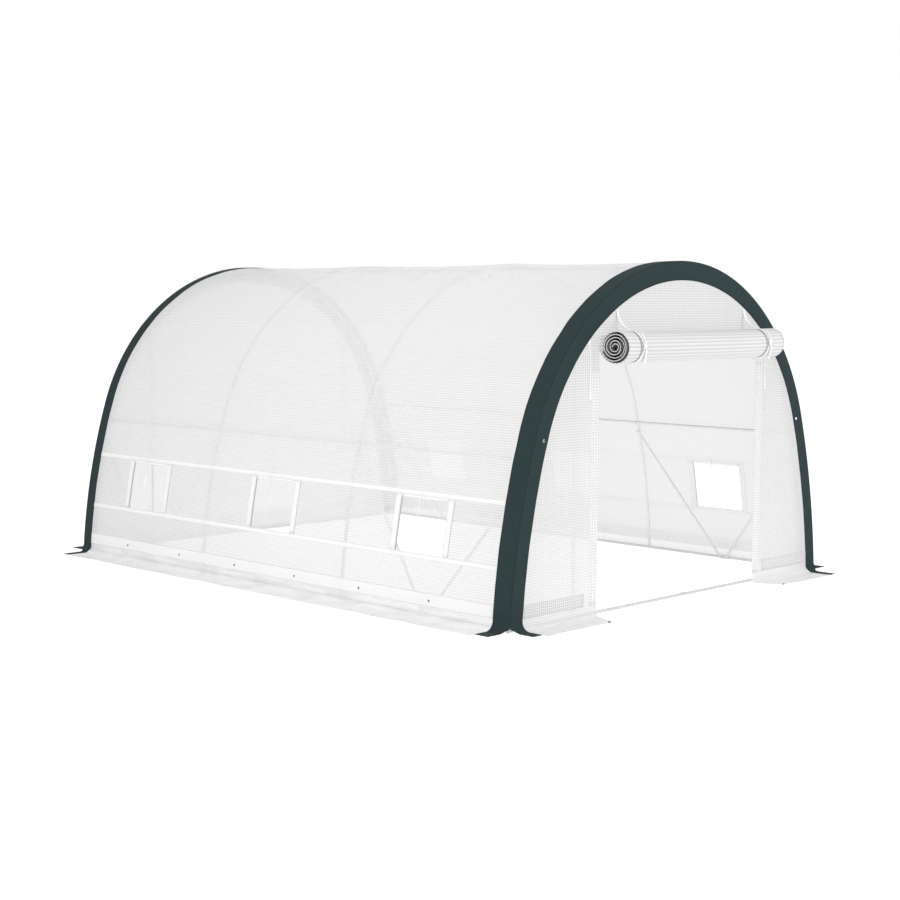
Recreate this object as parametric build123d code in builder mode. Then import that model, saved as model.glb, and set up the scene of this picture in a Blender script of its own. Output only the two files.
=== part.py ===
from build123d import *
import os
from math import acos, asin, atan2, cos, degrees, hypot, radians, sin, sqrt

# Polytunnel greenhouse: four tube hoops under a sewn sheet cover, with a rolled-up front door.
# X runs across the tunnel, +Y from the door to the back, +Z up, and the ground is at Z = 0.
# All lengths are in millimetres and all angles in degrees.

# Tunnel over the outside of its cover
tunnel_width = 3000
tunnel_length = 4040
tunnel_height = 1995
leg_lean = 3.63
shoulder_lean = 18.17

# Sheets, tapes and straps
cover_thickness = 2
trim_thickness = 2
tape_thickness = 1.5
strap_thickness = 1.5
net_thickness = 1
sewn_gap = 0.2

# Frame tubes
tube_diameter = 19
brace_diameter = 16
hoop_sides = 8
tube_sides = 8
hoop_count = 4
end_hoop_setback = 20
hoop_cover_gap = 0.5
joint_gap = 0.3
purlin_height = 915
post_offset = 930
brace_top_height = 860
brace_foot_spacing = 44
clamp_wall = 2.5
clamp_length = 80

# Skirt that lies on the ground outside the walls
skirt_width = 190
skirt_upturn = 65

# Side walls: two sewn seams under tapes, with windows between them
lower_seam_height = 335
upper_seam_height = 685
seam_tape_width = 30
bottom_band_height = 75
window_width = 375
window_strip_width = 46
window_tie_length = 195
window_tie_width = 12
window_tie_shift = 38
window_creep = 24

# Dark trim folded over both ends of the tunnel
trim_face_width = 100
front_trim_side_width = 125
back_trim_side_width = 92
trim_bend_radius = 55
trim_notch = 24
tongue_width = 145
trim_foot_share = 1.25

# Doorway in the front and the door rolled up above it
door_width = 1540
door_head_drop = 475
door_hem_width = 70
door_hem_drop = 125
front_band_setback = 115
front_skirt_flare = 80
roll_radius = 92
roll_core_radius = 15
roll_turns = 4
roll_overhang = 25
roll_shift = 17
door_seam_height = 60
roll_tie_setback = 150
roll_tie_width = 18
roll_tie_release_angle = 22
hanging_tie_setback = 87
hanging_tie_width = 17
hanging_tie_length = 333

# One overrun serves all cuts
cut_overrun = 50

# Main planes and tube radii that follow from the sizes above
half_width = tunnel_width / 2
half_length = tunnel_length / 2
tube_radius = tube_diameter / 2
brace_radius = brace_diameter / 2

# The arch is a large leg arc that runs tangent into a crown arc; its two radii follow from
# the width, the height and the leans at the ground and at the shoulder
lean_cos = cos(radians(leg_lean))
lean_sin = sin(radians(leg_lean))
shoulder_cos = cos(radians(shoulder_lean))
shoulder_sin = sin(radians(shoulder_lean))
arch_ratio = (lean_cos - shoulder_cos) * (1 - shoulder_sin) - shoulder_cos * (shoulder_sin - lean_sin)
leg_radius = (half_width * (1 - shoulder_sin) - tunnel_height * shoulder_cos) / arch_ratio
crown_radius = (
    tunnel_height * (lean_cos - shoulder_cos) - half_width * (shoulder_sin - lean_sin)
) / arch_ratio
leg_centre_x = half_width - leg_radius * lean_cos
leg_centre_z = -leg_radius * lean_sin
crown_centre_z = tunnel_height - crown_radius


def shoulder_height(inset):
    """Height at which the leg arc runs into the crown arc, at an inset from the cover's outer face."""
    return leg_centre_z + (leg_radius - inset) * shoulder_sin


def leg_angle(height, inset):
    """Angle along the right leg arc at a height and an inset from the cover's outer face."""
    return degrees(asin((height - leg_centre_z) / (leg_radius - inset)))


def crown_angle(height, inset):
    """Angle along the crown arc at a height and an inset from the cover's outer face."""
    return degrees(asin((height - crown_centre_z) / (crown_radius - inset)))


def arch_x(height, inset):
    """Half width of the arch at a height and an inset from the cover's outer face."""
    if height < shoulder_height(inset):
        return leg_centre_x + (leg_radius - inset) * cos(radians(leg_angle(height, inset)))
    return (crown_radius - inset) * cos(radians(crown_angle(height, inset)))


def arch_height(x, inset):
    """Height of the crown arc at a distance from the middle and an inset from the cover's outer face."""
    return crown_centre_z + sqrt((crown_radius - inset) ** 2 - x**2)


def draw_leg(side, inset, low, high):
    """Draw one leg arc in the open line between two heights; side is 1 on the right and -1 on the left."""
    start = leg_angle(low, inset)
    sweep_angle = leg_angle(high, inset) - start
    if side > 0:
        CenterArc((leg_centre_x, leg_centre_z), leg_radius - inset, start, sweep_angle)
    else:
        CenterArc((-leg_centre_x, leg_centre_z), leg_radius - inset, 180 - start, -sweep_angle)


def draw_wall(inset, low, high):
    """Draw the right side of the arch in the open line between two heights."""
    shoulder = shoulder_height(inset)
    if low < shoulder:
        draw_leg(1, inset, low, min(high, shoulder))
    if high > shoulder:
        start = crown_angle(max(low, shoulder), inset)
        CenterArc((0, crown_centre_z), crown_radius - inset, start, crown_angle(high, inset) - start)


def draw_arch(inset, foot_height):
    """Draw the whole arch in the open line, from one foot over the crown to the other."""
    shoulder = shoulder_height(inset)
    if foot_height < shoulder:
        draw_leg(1, inset, foot_height, shoulder)
        draw_leg(-1, inset, foot_height, shoulder)
    start = crown_angle(max(foot_height, shoulder), inset)
    CenterArc((0, crown_centre_z), crown_radius - inset, start, 180 - 2 * start)


def arch_band(outer, inner, foot_height, near, far):
    """Band of the whole arch between two insets and two stations along Y, cut level at its feet."""
    with BuildPart() as band:
        with BuildSketch(Plane.XZ.offset(-near)):
            with BuildLine():
                draw_arch(outer, foot_height)
                draw_arch(inner, foot_height)
                for side in (-1, 1):
                    Line(
                        (side * arch_x(foot_height, outer), foot_height),
                        (side * arch_x(foot_height, inner), foot_height),
                    )
            make_face()
        extrude(amount=near - far)
    return band.part


def wall_strip(outer, inner, low, high, near, far):
    """Strip of the right wall between two insets, two heights and two stations along Y."""
    with BuildPart() as strip:
        with BuildSketch(Plane.XZ.offset(-near)):
            with BuildLine():
                draw_wall(outer, low, high)
                draw_wall(inner, low, high)
                Line((arch_x(low, outer), low), (arch_x(low, inner), low))
                Line((arch_x(high, outer), high), (arch_x(high, inner), high))
            make_face()
        extrude(amount=near - far)
    return strip.part


def gable_sheet(inset, front, thickness, left, right, low, high):
    """Flat sheet in the front gable, cut to the arch at an inset and to a box; front is its face in Y."""
    with BuildPart() as sheet:
        with BuildSketch(Plane.XZ.offset(-front)):
            with BuildLine():
                draw_arch(inset, 0)
                Line((-arch_x(0, inset), 0), (arch_x(0, inset), 0))
            make_face()
            with Locations(((left + right) / 2, (low + high) / 2)):
                Rectangle(right - left, high - low, mode=Mode.INTERSECT)
        extrude(amount=-thickness)
    return sheet.part


def straight_tube(start, end, radius):
    """Tube between two points, drawn as a bar with a fixed count of sides."""
    axis = Vector(end) - Vector(start)
    with BuildPart() as tube:
        with BuildSketch(Plane(origin=start, z_dir=axis)):
            RegularPolygon(radius, tube_sides)
        extrude(amount=axis.length)
    return tube.part


def save(piece, name):
    """Label a finished piece and write it under its own name."""
    piece.label = name
    export_step(piece, f"parts/{name}.step")


os.makedirs("parts", exist_ok=True)

# Hoops: one bent tube each, just inside the cover, cut square at the ground; a flat of each
# tube faces the cover and another the neighbouring tubes
hoop_inset = cover_thickness + hoop_cover_gap + tube_radius
hoop_foot_height = tube_radius * sin(radians(leg_angle(0, hoop_inset)))
hoop_span = tunnel_length - 2 * end_hoop_setback
hoop_pitch = hoop_span / (hoop_count - 1)
hoop_stations = [hoop_pitch * n - hoop_span / 2 for n in range(hoop_count)]
hoop_names = ["hoop_front", "hoop_second", "hoop_third", "hoop_back"]

for hoop_name, station in zip(hoop_names, hoop_stations):
    with BuildPart() as hoop:
        with BuildLine(Plane.XZ.offset(-station)) as hoop_path:
            draw_arch(hoop_inset, hoop_foot_height)
        foot = Plane(origin=hoop_path.wire() @ 0, x_dir=(0, 1, 0), z_dir=hoop_path.wire() % 0)
        with BuildSketch(foot):
            RegularPolygon(tube_radius, hoop_sides, major_radius=False, rotation=180 / hoop_sides)
        sweep(path=hoop_path.wire())
    save(hoop.part, hoop_name)

# Purlins: straight tubes bolted to the inner side of every hoop
purlin_inset = hoop_inset + tube_diameter + joint_gap
purlin_end = hoop_span / 2 + tube_radius
purlin_x = arch_x(purlin_height, purlin_inset)
ridge_z = tunnel_height - purlin_inset
for purlin_name, x, z in (
    ("ridge_purlin", 0, ridge_z),
    ("left_purlin", -purlin_x, purlin_height),
    ("right_purlin", purlin_x, purlin_height),
):
    with BuildPart() as purlin:
        add(straight_tube((x, -purlin_end, z), (x, purlin_end, z), tube_radius))
    save(purlin.part, purlin_name)

# Base rails: tubes along the feet of the hoops, carried by the brace clamps
clamp_radius = tube_radius + joint_gap + clamp_wall
rail_z = clamp_radius
rail_x = arch_x(rail_z, purlin_inset)
for rail_name, x in (("left_base_rail", -rail_x), ("right_base_rail", rail_x)):
    with BuildPart() as rail:
        add(straight_tube((x, -purlin_end, rail_z), (x, purlin_end, rail_z), tube_radius))
    save(rail.part, rail_name)

# Cross tubes on the ground inside both end hoops: the door's threshold and the back sill
cross_station = hoop_span / 2 - tube_diameter - joint_gap
cross_end = rail_x - tube_diameter - joint_gap
for cross_name, y in (("front_threshold", -cross_station), ("back_sill", cross_station)):
    with BuildPart() as cross_tube:
        add(straight_tube((-cross_end, y, tube_radius), (cross_end, y, tube_radius), tube_radius))
    save(cross_tube.part, cross_name)

# Upright posts that stand on the cross tubes and are bolted to the end hoops
post_foot = tube_diameter + joint_gap
post_top = arch_height(post_offset, hoop_inset)
for posts_name, y in (("front_door_posts", -cross_station), ("back_posts", cross_station)):
    with BuildPart() as posts:
        for x in (-post_offset, post_offset):
            add(straight_tube((x, y, post_foot), (x, y, post_top), tube_radius))
    save(posts.part, posts_name)

# Braces: a V of two tubes in each end bay, from a clamp on the base rail up to the hoops
brace_inset = hoop_inset + tube_radius + brace_radius + joint_gap
brace_foot_x = rail_x - clamp_radius - brace_radius - joint_gap
brace_top_x = arch_x(brace_top_height, brace_inset)
end_bay_middle = (hoop_stations[0] + hoop_stations[1]) / 2
with BuildPart() as right_braces:
    for toward, station in ((-1, hoop_stations[0]), (1, hoop_stations[1])):
        foot_y = end_bay_middle + toward * brace_foot_spacing / 2
        add(
            straight_tube(
                (brace_foot_x, foot_y, rail_z),
                (brace_top_x, station, brace_top_height),
                brace_radius,
            )
        )
    mirror(about=Plane.XZ)
save(right_braces.part, "right_braces")

with BuildPart() as left_braces:
    mirror(right_braces.part, about=Plane.YZ)
save(left_braces.part, "left_braces")

# Clamps: short sleeves round the base rails at the feet of the braces
with BuildPart() as brace_clamps:
    with BuildSketch(Plane.XZ.offset(-end_bay_middle + clamp_length / 2)):
        with Locations((rail_x, rail_z), (-rail_x, rail_z)):
            RegularPolygon(clamp_radius, tube_sides)
            RegularPolygon(tube_radius + joint_gap, tube_sides, mode=Mode.SUBTRACT)
    extrude(amount=-clamp_length)
    mirror(about=Plane.XZ)
save(brace_clamps.part, "brace_clamps")

# Roof sheet: one piece from the upper seam of one wall over the crown to the other
with BuildPart() as roof_cover:
    add(arch_band(0, cover_thickness, upper_seam_height, -half_length, half_length))
save(roof_cover.part, "roof_cover")

# Window walls: the sheet between the two seams, with a window in each bay, further back toward the front
window_low = lower_seam_height + seam_tape_width / 2
window_high = upper_seam_height - seam_tape_width / 2
window_middle = (window_low + window_high) / 2
window_count = hoop_count - 1
window_stations = [
    hoop_stations[n] + hoop_pitch / 2 + window_creep * (window_count - 1 - n) for n in range(window_count)
]
with BuildPart() as right_window_wall:
    add(wall_strip(0, cover_thickness, lower_seam_height, upper_seam_height, -half_length, half_length))
    with BuildSketch(Plane.YZ.offset(half_width + cut_overrun)):
        with Locations([(y, window_middle) for y in window_stations]):
            Rectangle(window_width, window_high - window_low)
    extrude(amount=-half_width, mode=Mode.SUBTRACT)
save(right_window_wall.part, "right_window_wall")

with BuildPart() as left_window_wall:
    mirror(right_window_wall.part, about=Plane.YZ)
save(left_window_wall.part, "left_window_wall")

# Lower walls: the sheet between the skirt and the lower seam
with BuildPart() as right_lower_wall:
    add(wall_strip(0, cover_thickness, skirt_upturn, lower_seam_height, -half_length, half_length))
save(right_lower_wall.part, "right_lower_wall")

with BuildPart() as left_lower_wall:
    mirror(right_lower_wall.part, about=Plane.YZ)
save(left_lower_wall.part, "left_lower_wall")

# Side skirts: an L of sheet, turned out over the ground between the two trims
side_front = front_trim_side_width - half_length
side_back = half_length - back_trim_side_width
skirt_edge_x = half_width + skirt_width
with BuildPart() as right_skirt:
    with BuildSketch(Plane.XZ.offset(-side_front)):
        with BuildLine():
            draw_wall(0, cover_thickness, skirt_upturn)
            draw_wall(cover_thickness, 0, skirt_upturn)
            Line(
                (arch_x(skirt_upturn, 0), skirt_upturn),
                (arch_x(skirt_upturn, cover_thickness), skirt_upturn),
            )
            Polyline(
                (arch_x(0, cover_thickness), 0),
                (skirt_edge_x, 0),
                (skirt_edge_x, cover_thickness),
                (arch_x(cover_thickness, 0), cover_thickness),
            )
        make_face()
    extrude(amount=side_front - side_back)
save(right_skirt.part, "right_skirt")

with BuildPart() as left_skirt:
    mirror(right_skirt.part, about=Plane.YZ)
save(left_skirt.part, "left_skirt")

# Seam tapes: two flat tapes along each wall, over the seams
tape_outer = -sewn_gap - tape_thickness
with BuildPart() as right_seam_tapes:
    for seam in (lower_seam_height, upper_seam_height):
        low = seam - seam_tape_width / 2
        add(wall_strip(tape_outer, -sewn_gap, low, low + seam_tape_width, side_front, side_back))
save(right_seam_tapes.part, "right_seam_tapes")

with BuildPart() as left_seam_tapes:
    mirror(right_seam_tapes.part, about=Plane.YZ)
save(left_seam_tapes.part, "left_seam_tapes")

# Window strips: flat tapes down both sides of each window
with BuildPart() as right_window_strips:
    for station in window_stations:
        for near in (station - window_width / 2 - window_strip_width, station + window_width / 2):
            far = near + window_strip_width
            add(wall_strip(tape_outer, -sewn_gap, window_low, window_high, near, far))
save(right_window_strips.part, "right_window_strips")

with BuildPart() as left_window_strips:
    mirror(right_window_strips.part, about=Plane.YZ)
save(left_window_strips.part, "left_window_strips")

# Window nets: sheets of net sewn behind the windows
net_outer = cover_thickness + sewn_gap
net_reach = window_width / 2 + window_strip_width
with BuildPart() as right_window_nets:
    for station in window_stations:
        add(
            wall_strip(
                net_outer,
                net_outer + net_thickness,
                lower_seam_height,
                upper_seam_height,
                station - net_reach,
                station + net_reach,
            )
        )
save(right_window_nets.part, "right_window_nets")

with BuildPart() as left_window_nets:
    mirror(right_window_nets.part, about=Plane.YZ)
save(left_window_nets.part, "left_window_nets")

# Window ties: a strap that hangs from the upper tape over each window
tie_inner = tape_outer - sewn_gap
tie_top = upper_seam_height + seam_tape_width / 2
with BuildPart() as window_ties:
    for station in window_stations:
        near = station + window_tie_shift
        add(
            wall_strip(
                tie_inner - strap_thickness,
                tie_inner,
                tie_top - window_tie_length,
                tie_top,
                near,
                near + window_tie_width,
            )
        )
    mirror(about=Plane.YZ)
save(window_ties.part, "window_ties")

# Bottom bands: a reinforcing band along the foot of each side wall
bottom_band_top = skirt_upturn + bottom_band_height
with BuildPart() as side_bottom_bands:
    add(wall_strip(tape_outer, -sewn_gap, skirt_upturn, bottom_band_top, side_front, side_back))
    mirror(about=Plane.YZ)
save(side_bottom_bands.part, "side_bottom_bands")

# Front gable: a panel each side of the doorway and one above it
half_door = door_width / 2
door_height = tunnel_height - door_head_drop
with BuildPart() as front_right_panel:
    add(
        gable_sheet(
            cover_thickness, -half_length, cover_thickness,
            half_door, half_width, skirt_upturn, door_height,
        )
    )
save(front_right_panel.part, "front_right_panel")

with BuildPart() as front_left_panel:
    mirror(front_right_panel.part, about=Plane.YZ)
save(front_left_panel.part, "front_left_panel")

with BuildPart() as front_top_panel:
    add(
        gable_sheet(
            cover_thickness, -half_length, cover_thickness,
            -half_width, half_width, door_height, tunnel_height,
        )
    )
save(front_top_panel.part, "front_top_panel")

# Back gable: one closed panel
with BuildPart() as back_panel:
    mirror(
        gable_sheet(
            cover_thickness, -half_length, cover_thickness,
            -half_width, half_width, skirt_upturn, tunnel_height,
        ),
        about=Plane.XZ,
    )
save(back_panel.part, "back_panel")

# Bands along the foot of both gables, between the trims
band_face = -half_length - sewn_gap - tape_thickness
band_inset = trim_face_width + sewn_gap
with BuildPart() as gable_bottom_bands:
    add(
        gable_sheet(
            band_inset, band_face, tape_thickness,
            half_door + front_band_setback, half_width, skirt_upturn, bottom_band_top,
        )
    )
    mirror(about=Plane.YZ)
    mirror(
        gable_sheet(
            band_inset, band_face, tape_thickness,
            -half_width, half_width, skirt_upturn, bottom_band_top,
        ),
        about=Plane.XZ,
    )
save(gable_bottom_bands.part, "gable_bottom_bands")

# Gable skirts: turned out over the ground, the front ones with their door corners cut away
skirt_edge_y = half_length + skirt_width
gable_skirt_end = arch_x(0, band_inset)


def gable_skirt(start, end):
    """L of sheet at the foot of the front gable between two places across it."""
    with BuildPart() as skirt:
        with BuildSketch(Plane.YZ.offset(start)):
            with BuildLine():
                Polyline(
                    (cover_thickness - half_length, 0),
                    (-skirt_edge_y, 0),
                    (-skirt_edge_y, cover_thickness),
                    (-half_length, cover_thickness),
                    (-half_length, skirt_upturn),
                    (cover_thickness - half_length, skirt_upturn),
                    close=True,
                )
            make_face()
        extrude(amount=end - start)
    return skirt.part


with BuildPart() as front_skirts:
    add(gable_skirt(half_door, gable_skirt_end))
    with BuildSketch():
        with BuildLine():
            Polyline(
                (half_door, -half_length),
                (half_door, -skirt_edge_y),
                (half_door + front_skirt_flare, -skirt_edge_y),
                close=True,
            )
        make_face()
    extrude(amount=cover_thickness, mode=Mode.SUBTRACT)
    mirror(about=Plane.YZ)
save(front_skirts.part, "front_skirts")

with BuildPart() as back_skirt:
    mirror(gable_skirt(-gable_skirt_end, gable_skirt_end), about=Plane.XZ)
save(back_skirt.part, "back_skirt")

# Door hems: doubled edges of the front panels beside the doorway
with BuildPart() as front_door_hems:
    add(
        gable_sheet(
            cover_thickness, band_face, tape_thickness,
            half_door, half_door + door_hem_width, skirt_upturn, door_height - door_hem_drop,
        )
    )
    mirror(about=Plane.YZ)
save(front_door_hems.part, "front_door_hems")


# Edge trim: folded over the end of the tunnel, with feet that bend out flat over the ground
trim_outer = -sewn_gap - trim_thickness
trim_back = -half_length - sewn_gap
trim_front = trim_back - trim_thickness
trim_foot_top = trim_foot_share * (trim_bend_radius + trim_thickness)
tongue_edge_x = half_width + tongue_width
tongue_edge_y = half_length + tongue_width


def side_foot(side_width):
    """Right foot of the trim's side face: down the wall, round a bend and out along X."""
    heel = (arch_x(0, -sewn_gap), 0)
    instep = (arch_x(trim_thickness, trim_outer), trim_thickness)
    with BuildPart() as foot:
        with BuildSketch(Plane.XZ.offset(-trim_back - trim_notch)) as profile:
            with BuildLine():
                draw_wall(trim_outer, trim_thickness, trim_foot_top)
                draw_wall(-sewn_gap, 0, trim_foot_top)
                Line(
                    (arch_x(trim_foot_top, trim_outer), trim_foot_top),
                    (arch_x(trim_foot_top, -sewn_gap), trim_foot_top),
                )
                Polyline(heel, (tongue_edge_x, 0), (tongue_edge_x, trim_thickness), instep)
            make_face()
            fillet(profile.vertices().sort_by_distance(heel)[0], trim_bend_radius + trim_thickness)
            fillet(profile.vertices().sort_by_distance(instep)[0], trim_bend_radius)
        extrude(amount=trim_notch - side_width)
    return foot.part


def gable_foot():
    """Right foot of the trim's gable face: down the gable, round a bend and out along -Y."""
    heel = (trim_back, 0)
    instep = (trim_front, trim_thickness)
    with BuildPart() as foot:
        with BuildSketch(Plane.YZ) as profile:
            with BuildLine():
                Polyline(
                    heel,
                    (-tongue_edge_y, 0),
                    (-tongue_edge_y, trim_thickness),
                    instep,
                    (trim_front, trim_foot_top),
                    (trim_back, trim_foot_top),
                    close=True,
                )
            make_face()
            fillet(profile.vertices().sort_by_distance(heel)[0], trim_bend_radius + trim_thickness)
            fillet(profile.vertices().sort_by_distance(instep)[0], trim_bend_radius)
        extrude(amount=tongue_edge_x)
        with BuildSketch(Plane.XZ.offset(-trim_back)):
            with BuildLine():
                draw_wall(trim_notch, 0, trim_foot_top)
                draw_wall(trim_face_width, 0, trim_foot_top)
                Line((arch_x(0, trim_notch), 0), (arch_x(0, trim_face_width), 0))
                Line(
                    (arch_x(trim_foot_top, trim_notch), trim_foot_top),
                    (arch_x(trim_foot_top, trim_face_width), trim_foot_top),
                )
            make_face()
        extrude(amount=tongue_width + cut_overrun, mode=Mode.INTERSECT)
    return foot.part


def edge_trim(side_width):
    """Trim of the front end: its gable face, its side face and their four feet as one piece."""
    feet = [side_foot(side_width), gable_foot()]
    with BuildPart() as trim:
        add(arch_band(trim_outer, trim_face_width, trim_foot_top, trim_front, trim_back))
        add(arch_band(trim_outer, -sewn_gap, trim_foot_top, trim_back, trim_back + side_width))
        add(feet)
        mirror(feet, about=Plane.YZ)
    return trim.part


# Edge trims over the front and the back of the tunnel
with BuildPart() as front_edge_trim:
    add(edge_trim(front_trim_side_width))
save(front_edge_trim.part, "front_edge_trim")

with BuildPart() as back_edge_trim:
    mirror(edge_trim(back_trim_side_width), about=Plane.XZ)
save(back_edge_trim.part, "back_edge_trim")

# Rolled-up door: a spiral of half circles about two centres, its outer end sewn to the gable
roll_standoff = sewn_gap + trim_thickness + joint_gap
roll_y = -half_length - roll_standoff - roll_radius
roll_z = door_height
roll_length = door_width + roll_overhang
half_turns = 2 * roll_turns
radius_step = (roll_radius - roll_core_radius) / half_turns
roll_back = roll_y + roll_radius
core_end = roll_y + roll_core_radius
seam_back = -half_length - sewn_gap
seam_top = roll_z + door_seam_height
with BuildPart() as door_roll:
    with BuildSketch(Plane.YZ.offset(roll_shift - roll_length / 2)):
        with BuildLine():
            for turn in range(half_turns):
                upper = turn % 2
                centre = (roll_y - upper * radius_step, roll_z)
                radius = roll_radius - turn * radius_step
                CenterArc(centre, radius, 180 - 180 * upper, 180)
                CenterArc(centre, radius - cover_thickness, 180 - 180 * upper, 180)
            Line((roll_back, roll_z), (roll_back - cover_thickness, roll_z))
            Line((core_end, roll_z), (core_end - cover_thickness, roll_z))
        make_face()
    extrude(amount=roll_length)
    with BuildSketch(Plane.YZ.offset(-half_door)):
        with BuildLine():
            Polyline(
                (roll_back, roll_z),
                (roll_back - cover_thickness, roll_z),
                (seam_back - cover_thickness, seam_top),
                (seam_back, seam_top),
                close=True,
            )
        make_face()
    extrude(amount=door_width)
save(door_roll.part, "door_roll")

# Roll ties: straps from the trim down round the roll and up behind the gable
roll_tie_offset = half_door - roll_tie_setback
tie_radius = roll_radius + joint_gap + strap_thickness / 2
tie_front_y = -half_length - sewn_gap - strap_thickness / 2
tie_back_y = cover_thickness + sewn_gap + strap_thickness / 2 - half_length
tie_high = arch_height(roll_tie_offset + roll_tie_width / 2, band_inset) - strap_thickness
tie_reach = hypot(tie_front_y - roll_y, tie_high - roll_z)
tie_touch = degrees(atan2(tie_high - roll_z, tie_front_y - roll_y) + acos(tie_radius / tie_reach))
tie_start = (roll_y + tie_radius * cos(radians(tie_touch)), roll_z + tie_radius * sin(radians(tie_touch)))
release = radians(-roll_tie_release_angle)
tie_release = (roll_y + tie_radius * cos(release), roll_z + tie_radius * sin(release))
with BuildPart() as roll_ties:
    with BuildSketch(Plane.YZ.offset(roll_tie_offset - roll_tie_width / 2)):
        with BuildLine():
            Line((tie_front_y, tie_high), tie_start)
            CenterArc((roll_y, roll_z), tie_radius, tie_touch, 360 - roll_tie_release_angle - tie_touch)
            Polyline(tie_release, (tie_back_y, roll_z - roll_standoff), (tie_back_y, tie_high))
        trace(line_width=strap_thickness)
    extrude(amount=roll_tie_width)
    mirror(about=Plane.YZ)
save(roll_ties.part, "roll_ties")

# Hanging ties: loose straps in front of the panels beside the roll
hanging_tie_offset = half_door + hanging_tie_setback
hanging_tie_edge = hanging_tie_offset + hanging_tie_width / 2
hanging_tie_end = arch_height(hanging_tie_offset, band_inset) - hanging_tie_length
with BuildPart() as hanging_ties:
    add(
        gable_sheet(
            band_inset, band_face, strap_thickness,
            hanging_tie_edge - hanging_tie_width, hanging_tie_edge, hanging_tie_end, tunnel_height,
        )
    )
    mirror(about=Plane.YZ)
save(hanging_ties.part, "hanging_ties")
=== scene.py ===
"""Dress the polytunnel greenhouse: sewn cover, dark end trims, rolled door, ties and tube frame."""
import logging
import math
from collections.abc import Mapping, Sequence
from dataclasses import dataclass, field
from enum import Enum
from functools import cached_property

import bmesh
import bpy
import numpy as np
from mathutils import Matrix, Vector


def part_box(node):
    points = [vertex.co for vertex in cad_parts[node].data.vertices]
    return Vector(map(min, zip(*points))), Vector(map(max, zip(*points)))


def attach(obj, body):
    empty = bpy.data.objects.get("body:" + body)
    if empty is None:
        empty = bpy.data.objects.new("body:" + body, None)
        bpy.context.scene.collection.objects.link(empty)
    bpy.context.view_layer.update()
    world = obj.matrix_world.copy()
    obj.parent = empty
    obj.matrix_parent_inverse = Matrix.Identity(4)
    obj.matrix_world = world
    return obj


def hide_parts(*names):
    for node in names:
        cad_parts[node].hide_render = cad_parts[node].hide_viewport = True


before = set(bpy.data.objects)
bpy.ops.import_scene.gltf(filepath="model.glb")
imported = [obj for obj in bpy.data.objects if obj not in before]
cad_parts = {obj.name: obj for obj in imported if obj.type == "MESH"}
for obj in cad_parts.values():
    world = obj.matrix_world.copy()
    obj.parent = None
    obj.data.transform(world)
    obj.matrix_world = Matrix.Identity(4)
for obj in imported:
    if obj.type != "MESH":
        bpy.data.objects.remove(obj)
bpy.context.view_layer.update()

LOG = logging.getLogger("polytunnel")
BODY = "root"
WEAVE_MAP = "weave"
SHEET_INSET = 0.001  # how far a sheet lies inside the tunnel's outer face
SKIRT_LEVEL = 0.0012  # height of a skirt that lies on the ground
Colour = tuple[float, float, float, float]
Array = np.ndarray
Floats = Sequence[float]
Material = bpy.types.Material
Socket = bpy.types.NodeSocket
Thing = bpy.types.Object


def grey(level: float) -> Colour:
    """A grey of one level."""
    return level, level, level, 1


class Slot(Enum):
    """The record's material slots."""

    TUBE = "frame_tube"
    COVER = "cover_sheet"
    TRIM = "edge_trim"
    TAPE = "sewn_tape"
    NET = "window_net"
    TIE = "tie_strap"


class Held(Enum):
    """How a sheet is held."""

    HUNG = "hung"
    LAID = "laid"
    FOLDED = "folded"
    STRETCHED = "stretched"


class Side(Enum):
    """The tunnel's two long sides, by the sign of X."""

    LEFT = -1
    RIGHT = 1


class End(Enum):
    """The tunnel's two ends, by the sign of Y."""

    FRONT = -1
    BACK = 1


class Signal:
    """A value socket on which Python arithmetic adds Math nodes."""

    def __init__(self, bench: "ShaderBench", socket: Socket) -> None:
        """Keep the bench that owns the node tree, and the socket."""
        self.bench = bench
        self.socket = socket

    def __add__(self, other: "Signal | float") -> "Signal":
        """This value plus another."""
        return self.bench.maths("ADD", self, other)

    __radd__ = __add__

    def __sub__(self, other: "Signal | float") -> "Signal":
        """This value less another."""
        return self.bench.maths("SUBTRACT", self, other)

    def __rsub__(self, other: float) -> "Signal":
        """A number less this value."""
        return self.bench.maths("SUBTRACT", other, self)

    def __mul__(self, other: "Signal | float") -> "Signal":
        """This value times another."""
        return self.bench.maths("MULTIPLY", self, other)

    __rmul__ = __mul__

    def __truediv__(self, other: "Signal | float") -> "Signal":
        """This value divided by another."""
        return self.bench.maths("DIVIDE", self, other)

    def __rtruediv__(self, other: float) -> "Signal":
        """A number divided by this value."""
        return self.bench.maths("DIVIDE", other, self)

    def __abs__(self) -> "Signal":
        """This value without its sign."""
        return self.bench.maths("ABSOLUTE", self)

    def fract(self) -> "Signal":
        """What is left of this value after its whole number."""
        return self.bench.maths("FRACT", self)

    def larger(self, other: "Signal | float") -> "Signal":
        """The larger of this value and another."""
        return self.bench.maths("MAXIMUM", self, other)

    def ease(self, low: float, high: float) -> "Signal":
        """Rise smoothly from 0 to 1 as this value goes from low to high.

        Args:
            low: The value that gives 0.
            high: The value that gives 1; below low, the result falls instead.

        Returns:
            The eased value.
        """
        falling = low > high
        span = {"From Min": min(low, high), "From Max": max(low, high), "Value": self}
        if falling:
            span |= {"To Min": 1.0, "To Max": 0.0}
        settings = {"interpolation_type": "SMOOTHSTEP"}
        return Signal(self.bench, self.bench.node("ShaderNodeMapRange", settings, span).outputs[0])


Feed = Signal | Socket | float | Floats


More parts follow.
